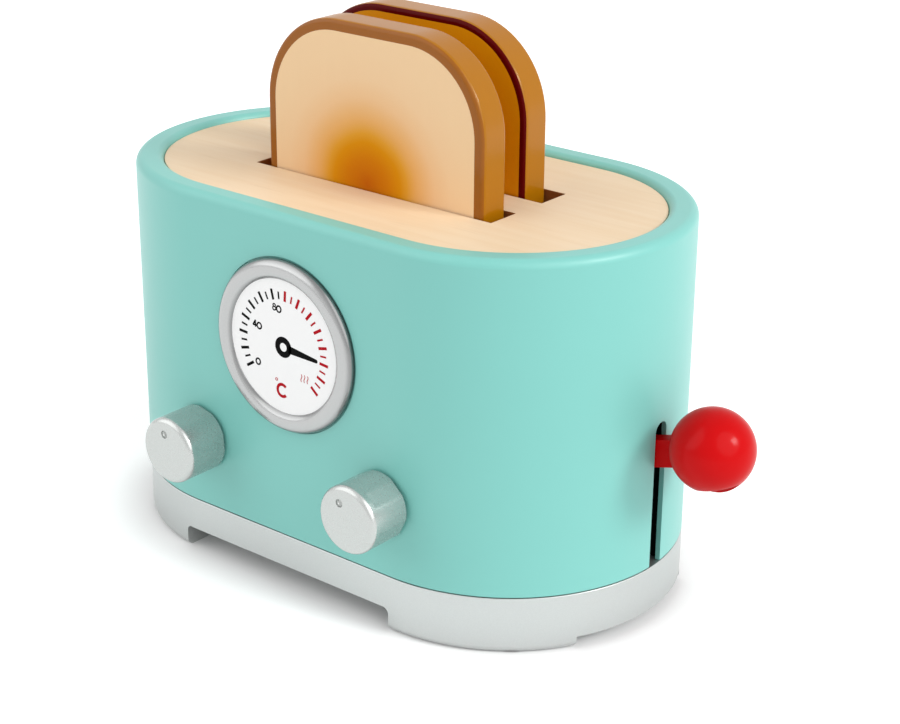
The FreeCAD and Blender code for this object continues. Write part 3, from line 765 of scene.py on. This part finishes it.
# %% [markdown]
# ## The dial
# The dial is a white printed disc under a half-round silver ring. The ring is a turned shape that
# sits in a shallow seat in the wall, a little wider than itself, and that gap gives the thin dark
# line round it. The disc's edge hides under the ring.

# %% Disc and ring
def lay_on_front(item, centre):
    """Turn a shape made round Z to face the front, and move it to its centre."""
    item.data.transform(Matrix.Translation(centre) @ Matrix.Rotation(math.pi / 2, 4, "X"))
    item.data.update()
    return item


dial_centre, dial_steps, disc_bevel = (0, front, dial_up), 192, 0.15 * MM
ring_radius, ring_half, ring_height, ring_rise = 23.75 * MM, 3.05 * MM, 2.6 * MM, 0.5 * MM
ring_start, ring_sweep, ring_steps = -42, 222, 44
disc_rise = front - disc_low.y
disc_profile = [(dial_radius, front - disc_high.y), (dial_radius, disc_rise - disc_bevel)]
disc_profile += [(dial_radius - disc_bevel, disc_rise)]
disc = lay_on_front(solid("dial_disc", *loft(turned(disc_profile, dial_steps))), dial_centre)
ring_profile = []
for step in range(ring_steps + 1):
    turn = math.radians(ring_start + ring_sweep * step / ring_steps)
    height = ring_rise + (ring_height - ring_rise) * math.sin(turn)
    ring_profile.append((ring_radius + ring_half * math.cos(turn), max(height, -groove_depth)))
ring_profile.append((ring_radius - ring_half, 0.0))
ring = lay_on_front(solid("dial_ring", *closed_loft(turned(ring_profile, dial_steps))), dial_centre)
# The band of the ring that gets painted shade towards its edges.
ring_shade_band = (dial_centre, ring_radius, ring_half)
RING_SILVER = silver("ring_silver", tint(181, 182, 182), 0.22, 0.8, 0.0006 * MM, 0.02, rim=ring_shade_band)

# %% [markdown]
# The scale is a fan of 29 ticks over a little more than two thirds of a turn. Every second one is
# short, and the hot part of the scale is red. The fan is a Geometry Nodes tree: a point for each
# tick, with its angle worked out from its number, and a thin bar on each point.

# %% The scale
print_rise = 0.04 * MM
INK_BLACK = paint("black_ink", tint(6, 6, 7), 0.6, shift=0.1, shine=0.05)
INK_RED = paint("red_ink", tint(186, 20, 34), 0.6, shift=0.04, shine=0.05)
DIAL_WHITE = paint("dial_white", tint(254, 254, 254), 0.32, peel_depth=0.002 * MM, shift=0.01)


def scale_tree(graph, size):
    """A fan of ticks round the dial, long and short in turn."""
    number = graph.add("GeometryNodeInputIndex")[0] + size["first"]
    odd = number.math("FLOORED_MODULO", number, 2.0)
    angle = (size["start"] - number * size["step"]) * (math.pi / 180)
    inner = size["long_inner"] + odd * (size["short_inner"] - size["long_inner"])
    outer = size["long_outer"] + odd * (size["short_outer"] - size["long_outer"])
    width = size["long_width"] + odd * (size["short_width"] - size["long_width"])
    middle = (inner + outer) / 2
    across, up = angle.math("COSINE", angle), angle.math("SINE", angle)
    place = graph.add("ShaderNodeCombineXYZ", inputs={"X": across * middle, "Y": up * middle})[0]
    points = graph.add("GeometryNodePoints", inputs={"Count": size["count"], "Position": place})[0]
    bar = graph.add("GeometryNodeMeshCube", inputs={"Size": (1.0, 1.0, 1.0)})[0]
    bar_size = {"X": outer - inner, "Y": width, "Z": size["rise"] * 2}
    stretch = graph.add("ShaderNodeCombineXYZ", inputs=bar_size)[0]
    turn = graph.add("ShaderNodeCombineXYZ", inputs={"Z": angle})[0]
    spread = {"Points": points, "Instance": bar, "Rotation": turn, "Scale": stretch}
    return graph.add("GeometryNodeInstanceOnPoints", inputs=spread)[0]


scale_sizes = {
    "start": 212.6, "step": 9.07, "rise": print_rise, "long_inner": 14.5 * MM,
    "long_outer": 17.8 * MM, "short_inner": 14.8 * MM, "short_outer": 17.1 * MM,
}
cold_sizes = {"first": 0, "count": 14, "long_width": 0.86 * MM, "short_width": 0.58 * MM}
hot_sizes = {"first": 14, "count": 15, "long_width": 0.9 * MM, "short_width": 0.56 * MM}
cold_ticks = grow("dial_ticks_black", scale_tree, finish=INK_BLACK, **cold_sizes, **scale_sizes)
hot_ticks = grow("dial_ticks_red", scale_tree, finish=INK_RED, **hot_sizes, **scale_sizes)

# %% [markdown]
# The figures, the degree sign, the steam and the pointer are printed too. Nearly all are strokes:
# flat ribbons along a path. Paths of ovals, lines and waves are enough for them, and only the
# pointer's hand is a filled outline. Their sizes and places are in millimetres from the centre.

# %% Figures and pointer
def stroke(path, width, closed=False):
    """Points and faces of a flat ribbon of ink along a path on the dial, given in millimetres."""
    path = [Vector((x * MM, y * MM)) for x, y in path]
    rings = []
    for number, point in enumerate(path):
        before = path[number - 1] if number or closed else point
        after = path[(number + 1) % len(path)] if number + 1 < len(path) or closed else point
        along = (after - before).normalized()
        side = Vector((-along.y, along.x)) * (width * MM / 2)
        left, right = point + side, point - side
        corners = [(left, -print_rise), (right, -print_rise), (right, print_rise), (left, print_rise)]
        rings.append([(edge.x, edge.y, height) for edge, height in corners])
    return closed_loft(rings) if closed else loft(rings)


def oval(centre, width, height, start=0, end=360, steps=32):
    """A path round part of an oval, from one angle to another in degrees."""
    count = steps if end - start == 360 else steps + 1
    turns = [math.radians(start + (end - start) * step / steps) for step in range(count)]
    return [(centre[0] + width / 2 * math.cos(a), centre[1] + height / 2 * math.sin(a)) for a in turns]


def wave(centre, height, swing, steps=16):
    """A path that wavers about an upright line."""
    spans = [step / steps - 0.5 for step in range(steps + 1)]
    return [(centre[0] + swing * math.sin(math.tau * s), centre[1] + height * s) for s in spans]


def print_on_dial(name, strokes, ink):
    """One printed part made of many strokes."""
    points, faces = [], []
    for some_points, some_faces in strokes:
        faces += [tuple(number + len(points) for number in face) for face in some_faces]
        points += some_points
    item = mesh_object(name, points, faces)
    set_finishes(item, [ink])
    return item


pen, eight_pen, degree_pen, steam_pen, letter_pen = 0.52, 0.4, 0.24, 0.26, 0.95
figures = []
for centre in ((-10.35, -7.15), (-9.5, 4.4), (-1.35, 11.6)):
    figures.append(stroke(oval(centre, 1.75, 1.9), pen, closed=True))
four_x, four_y = -11.35, 4.75
four_lines = [[(0.75, -0.5), (-0.75, -0.5)], [(-0.7, -0.55), (0.35, 1.1)], [(0.3, 1.1), (0.3, -1.1)]]
for line in four_lines:
    figures.append(stroke([(four_x + x, four_y + y) for x, y in line], pen))
eight_x, eight_y = -3.15, 11.95
for up, width, height in ((0.5, 0.95, 0.85), (-0.47, 1.25, 1.1)):
    figures.append(stroke(oval((eight_x, eight_y + up), width, height), eight_pen, closed=True))

hub_outer, hub_inner, hub_shift = 3.25, 1.35, 0.1
hub_path = oval((hub_shift, 0), hub_outer + hub_inner, hub_outer + hub_inner, steps=64)
figures.append(stroke(hub_path, hub_outer - hub_inner, closed=True))
needle_root, needle_tip, root_half, tip_half = 2.2, 13.7, 1.25, 0.6
outline = [(needle_root, -root_half)]
outline += oval((needle_tip - tip_half, 0), tip_half * 2, tip_half * 2, start=-85, end=85, steps=12)
outline += [(needle_root, root_half)]
turn = Matrix.Rotation(math.radians(-4.6), 2)
outline = [turn @ Vector((x * MM, y * MM)) for x, y in outline]
figures.append(loft([[(x, y, height) for x, y in outline] for height in (-print_rise, print_rise)]))
black_print = print_on_dial("dial_figures_black", figures, INK_BLACK)

warm = [stroke(oval((-0.75, -13.95), 3.8, 3.8, start=42, end=318), letter_pen)]
warm.append(stroke(oval((-2.97, -10.87), 0.8, 0.8), degree_pen, closed=True))
warm += [stroke(wave((x, -7.9), 2.4, 0.22), steam_pen) for x in (7.1, 8.3, 9.55)]
red_print = print_on_dial("dial_figures_red", warm, INK_RED)
for item in (cold_ticks, hot_ticks, black_print, red_print):
    lay_on_front(item, (0, disc_low.y, dial_up))
    place_part(item, "housing", "printed_disc")
place_part(polish(disc), "housing", "printed_disc", DIAL_WHITE, nodes=["dial_face"])
place_part(polish(ring), "housing", "silver_paint", RING_SILVER, nodes=["dial_bezel"])

# %% [markdown]
# ## The knobs
# A knob is turned, its front edge is rounded, and five shallow flats are milled on its side as far
# as the cap. So its outline follows a rule: at each angle the circle or the flat counts, whichever
# is nearer. A drilled dimple, half way out to the rim, shows where the knob points.

# %% The knobs
flat_count, flat_steps, arc_steps = 5, 8, 16
knob_radius, knob_length, knob_cap = 10.5 * MM, 14.8 * MM, 3.0 * MM
knob_edge, back_edge, flat_out = 1.7 * MM, 0.4 * MM, 10.15 * MM
dimple_radius, dimple_depth, dimple_out = 1.25 * MM, 1.2 * MM, 5.5 * MM
dimple_form = [(0.0, 1.0), (0.8, 0.8), (1.0, 0.5)]
flat_reach, flat_turn_step = math.acos(flat_out / knob_radius), math.tau / flat_count


def knob_ring(inset, height, flats=False):
    """One ring of a knob, set in from its outline, with a point at each end of every flat."""
    ring = []
    arc = flat_turn_step - 2 * flat_reach
    away = [flat_reach * (2 * step / flat_steps - 1) for step in range(flat_steps)]
    away += [flat_reach + arc * step / arc_steps for step in range(arc_steps)]
    for number in range(flat_count):
        for turn in away:
            milled = flat_out / math.cos(min(abs(turn), flat_reach))
            reach = (milled if flats and abs(turn) < flat_reach else knob_radius) - inset
            angle = math.pi / 2 + number * flat_turn_step + turn
            ring.append((reach * math.cos(angle), reach * math.sin(angle), height))
    return ring


def make_knob(side, flat_turn, dimple_turn):
    """A knob at its place, with its flats and its dimple turned by angles in degrees."""
    low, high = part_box(f"knob_{side}")
    step_height = knob_length - knob_cap
    edge = rounded_edge(0.0, 0.0, back_edge, -1, steps=4)
    rings = [knob_ring(-out, height, flats=True) for out, height in edge]
    rings += [knob_ring(0.0, step_height, flats=True), knob_ring(0.0, step_height)]
    edge = rounded_edge(0.0, knob_length, knob_edge, 1, steps=14)
    rings += [knob_ring(-out, height) for out, height in edge]
    knob = solid(f"knob_{side}_silver", *loft(rings))
    knob.data.transform(Matrix.Rotation(-math.radians(flat_turn), 4, "Z"))
    turn = math.radians(dimple_turn)
    across, up = dimple_out * math.sin(turn), dimple_out * math.cos(turn)
    profile = [(dimple_radius * out, knob_length - dimple_depth * deep) for out, deep in dimple_form]
    profile.append((dimple_radius, knob_length + outside))
    drill = solid("drill", *loft(turned(profile, steps=32)))
    drill.data.transform(Matrix.Translation((across, up, 0)))
    shaft_low, shaft_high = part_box(f"knob_shaft_{side}")
    bore_radius = (shaft_high.x - shaft_low.x + fit) / 2
    bore = rod("bore", bore_radius, (0, 0, -outside), (0, 0, high.y - shaft_low.y + fit), sides=48)
    carve(knob, drill, bore)
    soften(knob, paint_round, angle=55)
    lay_on_front(knob, ((low.x + high.x) / 2, high.y, (low.z + high.z) / 2))
    place_part(polish(knob), f"{side}_knob", "silver_paint", KNOB_SILVER, nodes=[f"knob_{side}"])


make_knob("left", 14.0, -8.8)
make_knob("right", 43.0, -24.8)

# %% [markdown]
# ## The lever
# The lever is one flat red moulding. Blocks and rods joined together give the tongue, the arm, the
# hub round the pin and the round nose. It is made along X with the pin at zero, and then tilted up
# on the pin to its resting slope.

# %% The lever bar
lever_slope = math.radians(15.5)
pin_low, pin_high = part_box("pivot_pin")
pin_middle = (pin_low + pin_high) / 2
tilt = Matrix.Rotation(-lever_slope, 4, "Y")
at_pin = Matrix.Translation((pin_middle.x, lever_back, pin_middle.z)) @ tilt
ball_out, ball_radius, tongue_end = 82.5 * MM, 12.5 * MM, 86.5 * MM
tongue_foot, tongue_top, tongue_thick = 4.85 * MM, 3.5 * MM, 5.0 * MM
nose_out, nose_radius, arm_half = 34.5 * MM, 4.0 * MM, 3.6 * MM
hub_radius, hub_half, side_half = 7.5 * MM, 3.0 * MM, tongue_thick / 2
bar_edge, ball_edge = 0.5 * MM, 0.3 * MM

bar = box("lever_bar_red", (0, -side_half, -tongue_foot), (tongue_end, side_half, tongue_top))
arm = box("arm", (-nose_out, -side_half, -arm_half), (0, side_half, arm_half))
nose = rod("nose", nose_radius, (-nose_out, -side_half, 0), (-nose_out, side_half, 0))
hub = rod("hub", hub_radius, (0, -hub_half, 0), (0, hub_half, 0), sides=96)
carve(bar, arm, nose, hub, operation="UNION")
pin_hole_radius = (pin_high.x - pin_low.x) / 2 + fit
carve(bar, rod("pin_hole", pin_hole_radius, (0, -outside, 0), (0, outside, 0)))
soften(bar, bar_edge, steps=3, angle=40)
bar.data.transform(at_pin)
place_part(polish(bar), "lever", "red_plastic", RED, nodes=["lever_bar"])

# %% [markdown]
# The ball is moulded too, and a moulder never leaves a thick lump of plastic: it is cored out from
# below, with one web left across the hollow. A slot takes the end of the tongue.

# %% The ball
ball_steps, tongue_fit = 72, 0.05 * MM
ball_turns = [math.pi * (step / ball_steps - 0.5) for step in range(ball_steps + 1)]
ball_profile = [(ball_radius * math.cos(turn), ball_radius * math.sin(turn)) for turn in ball_turns]
ball = solid("lever_ball_red", *loft(turned(ball_profile, steps=128), caps=False))
core_radius, core_roof, web_half = 7.8 * MM, -5.6 * MM, 1.2 * MM
core = rod("core", core_radius, (0, 0, -ball_radius - outside), (0, 0, core_roof), sides=96)
web_corner = (outside * 2, web_half, 0)
carve(core, box("web", (-outside * 2, -web_half, -ball_radius - outside * 2), web_corner))
slot_low = (-ball_radius - outside, -side_half - tongue_fit, -tongue_foot - tongue_fit)
slot_high = (tongue_end - ball_out + tongue_fit, side_half + tongue_fit, tongue_top + tongue_fit)
carve(ball, box("tongue_slot", slot_low, slot_high), core)
soften(ball, ball_edge, angle=40)
ball.data.transform(at_pin @ Matrix.Translation((ball_out, 0, 0)))
place_part(polish(ball), "lever", "red_plastic", RED, nodes=["lever_ball"])

# %% [markdown]
# ## The toast
# A slice is a board with round shoulders and softened edges. One helper sets the outline of the
# slice inwards. Rings of that outline, at the depths of the softened edge, make the slice. One
# more ring on each face marks where the crumb paint stops and the crust begins.

# %% Slice helpers
slice_width, slice_height, slice_thick = 84.6 * MM, 85.6 * MM, 10.8 * MM
shoulder_round, foot_corner, slice_edge = 28.0 * MM, 6.0 * MM, 1.5 * MM
pale_inset, golden_inset = 3.4 * MM, 2.2 * MM


def slice_ring(inset, depth, steps=20):
    """The outline of a slice, set inwards, at one depth."""
    half = slice_width / 2
    corners = [
        (half - foot_corner, foot_corner, foot_corner, -90),
        (half - shoulder_round, slice_height - shoulder_round, shoulder_round, 0),
        (shoulder_round - half, slice_height - shoulder_round, shoulder_round, 90),
        (foot_corner - half, foot_corner, foot_corner, 180),
    ]
    ring = []
    for x, z, radius, start in corners:
        for step in range(steps + 1):
            turn, reach = math.radians(start + 90 * step / steps), radius - inset
            ring.append((x + reach * math.cos(turn), depth, z + reach * math.sin(turn)))
    return ring


# %% [markdown]
# ## Crumb and crust
# One side of a slice is pale crumb with a browned spot, as if it had just been warmed. The other is
# toasted golden all over. The spot is a ramp of colours over the distance from its middle. The
# crust is a thick gloss paint, so it shows soft highlights. Round the golden face the edge is a
# dark red-brown: painted shade, for the shade between the two slices. Round the pale face the
# crust is a little darker than at the sides: partly its own paint, partly painted shade.

# %% Crumb and crust
spot_reach, spot_waver, spot_across, spot_up = 40 * MM, 0.05, 0.8 * MM, 121.5 * MM
crumb_cloud, crumb_grain, crumb_squeeze = 20 * MM, 2 * MM, (1.0, 1.0, 0.1)
spot_stops = [
    (0.0, tint(197, 100, 0)), (0.2, tint(212, 125, 0)), (0.325, tint(221, 145, 6)),
    (0.39, tint(228, 161, 50)), (0.5, tint(238, 181, 112)), (0.66, tint(245, 202, 154)),
    (0.8, tint(248, 211, 168)), (1.0, tint(249, 214, 171)),
]


def crumb(name, across):
    """Matt crumb paint whose colour depends on the distance from a spot."""
    finish, graph = new_finish(name)
    place = object_place(graph)
    waver = (noise(graph, place, crumb_cloud) - 0.5) * spot_waver
    share = from_axis(graph, place, (across, 0.0, spot_up)) / spot_reach + waver
    colour = graph.add("ShaderNodeValToRGB", {"stops": spot_stops}, {0: share})["Color"]
    grain = noise(graph, object_place(graph, crumb_squeeze), crumb_grain, detail=3.0)
    shade(graph, {
        "Base Color": blend(graph, grain * 0.04, colour, tint(214, 160, 100)),
        "Roughness": 0.55 + grain * 0.1,
        "Specular IOR Level": 0.04,
        "Normal": dent(graph, grain, 0.004 * MM),
    })
    return finish


CRUMB_FRONT = crumb("crumb_front", -spot_across)
CRUMB_REAR = crumb("crumb_rear", spot_across)
GOLDEN = paint("golden_crumb", tint(226, 152, 4), 0.45, shift=0.04, shine=0.08)
glaze = {"peel_depth": 0.01 * MM, "shift": 0.05, "shine": 0.1, "coat": 0.3, "coat_gloss": 0.14}
CRUST = paint("crust_brown", tint(176, 112, 4), 0.3, **glaze)
# A darker crust for faces looking front and back round the pale face: partly paint, partly painted
# shade.
CRUST_EDGE_SHADED = paint("crust_edge_part_shaded", tint(158, 92, 16), 0.3, **glaze)
# A dark red-brown edge round the golden face: painted shade between the slices.
CRUST_SHADE = paint("crust_painted_shade", tint(92, 0, 2), 0.22, shift=0.04, shine=0.05)

# %% The slices
def make_slice(side, pale, pale_way):
    """A slice whose pale face looks to the front (-1) or to the rear (1)."""
    low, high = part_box(f"toast_{side}")
    half = slice_thick / 2
    inset_of = {pale_way: pale_inset, -pale_way: golden_inset}
    section = [(inset_of[-1], -half)]
    for way in (-1, 1):
        edge = rounded_edge(0.0, way * half, slice_edge, way, steps=8)
        section += [(-out, depth) for out, depth in edge]
    section.append((inset_of[1], half))
    toast = solid(f"toast_{side}_painted", *loft([slice_ring(inset, depth) for inset, depth in section]))
    set_finishes(toast, (pale, GOLDEN, CRUST, CRUST_EDGE_SHADED, CRUST_SHADE))
    # Faces that look front or back: painted shade round the golden face, partly so round the pale one.
    for face in toast.data.polygons:
        way = face.center.y * pale_way
        if len(face.vertices) > 4:
            face.material_index = 0 if way > 0 else 1
        elif abs(face.normal.y) > 0.6:
            face.material_index = 3 if way > 0 else 4
        else:
            face.material_index = 2
    toast.data.transform(Matrix.Translation(((low.x + high.x) / 2, (low.y + high.y) / 2, low.z)))
    place_part(polish(toast, angle=50), f"slice_{side}", "toast_paint", nodes=[f"toast_{side}"])


make_slice("front", CRUMB_FRONT, -1)
make_slice("rear", CRUMB_REAR, 1)

# %% [markdown]
# ## Hidden fittings
# The parts inside keep their engineering shapes. Each one gets the finish of its material: beech
# along its grain, zinc, rubber, nylon or felt.

# %% Hidden fittings
fittings = {
    DOWEL_WOOD: ["plate_pillar_front_left", "plate_pillar_front_right", "plate_pillar_rear_left",
                 "plate_pillar_rear_right", "guide_rod_front", "guide_rod_rear", "push_post",
                 "pivot_cheek_front", "pivot_cheek_rear"],
    BOARD_WOOD: ["lift_platform", "toast_rail_front", "toast_rail_middle", "toast_rail_rear"],
    ZINC: ["pivot_pin", "knob_shaft_left", "knob_shaft_right", "knob_clip_left", "knob_clip_right"],
    RUBBER: ["rest_buffer", "press_buffer"],
    NYLON: ["guide_bush_front", "guide_bush_rear"],
    FELT: ["knob_washer_left", "knob_washer_right"],
}
for finish, names in fittings.items():
    for name in names:
        set_finishes(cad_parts[name], [finish])
print("fittings:", sum(len(names) for names in fittings.values()))

# %% [markdown]
# ## The floor
# The toy stands on a plain white floor that runs past every edge of the picture. A little way from
# the toy the floor glows to the camera and in mirrors: painted light that washes the toy's cast
# shadows out, so it looks pure white there. Close to the board the glow fades out and the soft
# contact shadow stays.

# %% The floor
glow_start, glow_full, floor_reach = end_radius - 8 * MM, end_radius + 22 * MM, 3.0


def seen_share(graph):
    """One for what the camera sees, also in a mirror or through glass, and zero for other light."""
    ray = graph.add("ShaderNodeLightPath")
    seen = ray["Is Camera Ray"].math("MAXIMUM", ray["Is Camera Ray"], ray["Is Glossy Ray"])
    return seen.math("MAXIMUM", seen, ray["Is Transmission Ray"])


def floor_finish(name, whiteness, glow):
    """White paper that adds a little of its own light to what the camera and mirrors see."""
    finish, graph = new_finish(name)
    place = graph.add("ShaderNodeSeparateXYZ", inputs={0: object_place(graph)})
    past = place["X"].math("ABSOLUTE", place["X"]) - half_straight
    past = past.math("MAXIMUM", past, 0.0)
    away = graph.add("ShaderNodeCombineXYZ", inputs={"X": past, "Y": place["Y"]})[0]
    share = fade(graph, vector_math(graph, "LENGTH", away)["Value"], glow_start, glow_full)
    paper = graph.add("ShaderNodeBsdfDiffuse", inputs={"Color": [whiteness] * 3 + [1.0]})[0]
    light = graph.add("ShaderNodeEmission", inputs={"Strength": seen_share(graph) * share * glow})[0]
    both = graph.add("ShaderNodeAddShader", inputs={0: paper, 1: light})[0]
    graph.add("ShaderNodeOutputMaterial", inputs={0: both})
    return finish


corners = [(x * floor_reach, y * floor_reach, 0.0) for x, y in ((-1, -1), (1, -1), (1, 1), (-1, 1))]
floor = mesh_object("floor", corners, [(0, 1, 2, 3)])
set_finishes(floor, [floor_finish("floor_white", 0.9, 0.45)])

# %% [markdown]
# ## Light
# Soft studio light comes from three lamps above the table: a wide key at the right, a narrower one
# beside it that puts the highlights on the ball, the ring and the crusts, and a weaker one at the
# left. The white room does the rest. It is white where a camera or a mirror sees it, and dimmer as
# a source of light.

# %% Light
def direction(azimuth, elevation):
    """A unit vector; azimuth turns from the front, -Y, towards +X."""
    a, e = math.radians(azimuth), math.radians(elevation)
    return Vector((math.sin(a) * math.cos(e), -math.cos(a) * math.cos(e), math.sin(e)))


def lamp(name, azimuth, elevation, strength, spread):
    """A far lamp that shines from one direction; spread is its width in degrees."""
    light = bpy.data.lights.new(name, "SUN")
    light.energy = strength
    light.angle = math.radians(spread)
    item = add_object(name, light)
    item.rotation_euler = direction(azimuth, elevation).to_track_quat("Z", "Y").to_euler()


lamp("key", 80, 35, 1.05, 60)
lamp("side", 104, 33, 1.15, 17)
lamp("fill", -45, 35, 0.85, 60)

world = bpy.data.worlds.new("studio")
world.use_nodes = True
room = Graph(world.node_tree)
room_light, room_white = 0.48, 1.0
strength = room_light + seen_share(room) * (room_white - room_light)
backdrop = {"Color": [1.0, 1.0, 1.0, 1.0], "Strength": strength}
room.add("ShaderNodeOutputWorld", inputs={0: room.add("ShaderNodeBackground", inputs=backdrop)[0]})
bpy.context.scene.world = world
bpy.context.scene.view_settings.view_transform = "Standard"

# %% [markdown]
# ## Camera
# The camera looks down on the toy from its right front with a short telephoto lens. It is turned
# by less than half a degree about its own axis.

# %% Camera
camera_azimuth, camera_elevation, camera_roll = 38.98, 22.34, 0.0081
camera_place, lens_mm, sensor_mm = (0.38212, -0.45081, 0.30167), 80.62, 36.0
lens = bpy.data.cameras.new("camera")
lens.lens, lens.sensor_width = lens_mm, sensor_mm
lens.clip_start, lens.clip_end = 0.01, 20.0
camera = add_object("camera", lens)
look = direction(camera_azimuth, camera_elevation).to_track_quat("Z", "Y").to_matrix().to_4x4()
roll = Matrix.Rotation(camera_roll, 4, "Z")
camera.matrix_world = Matrix.Translation(camera_place) @ look @ roll
bpy.context.scene.camera = camera
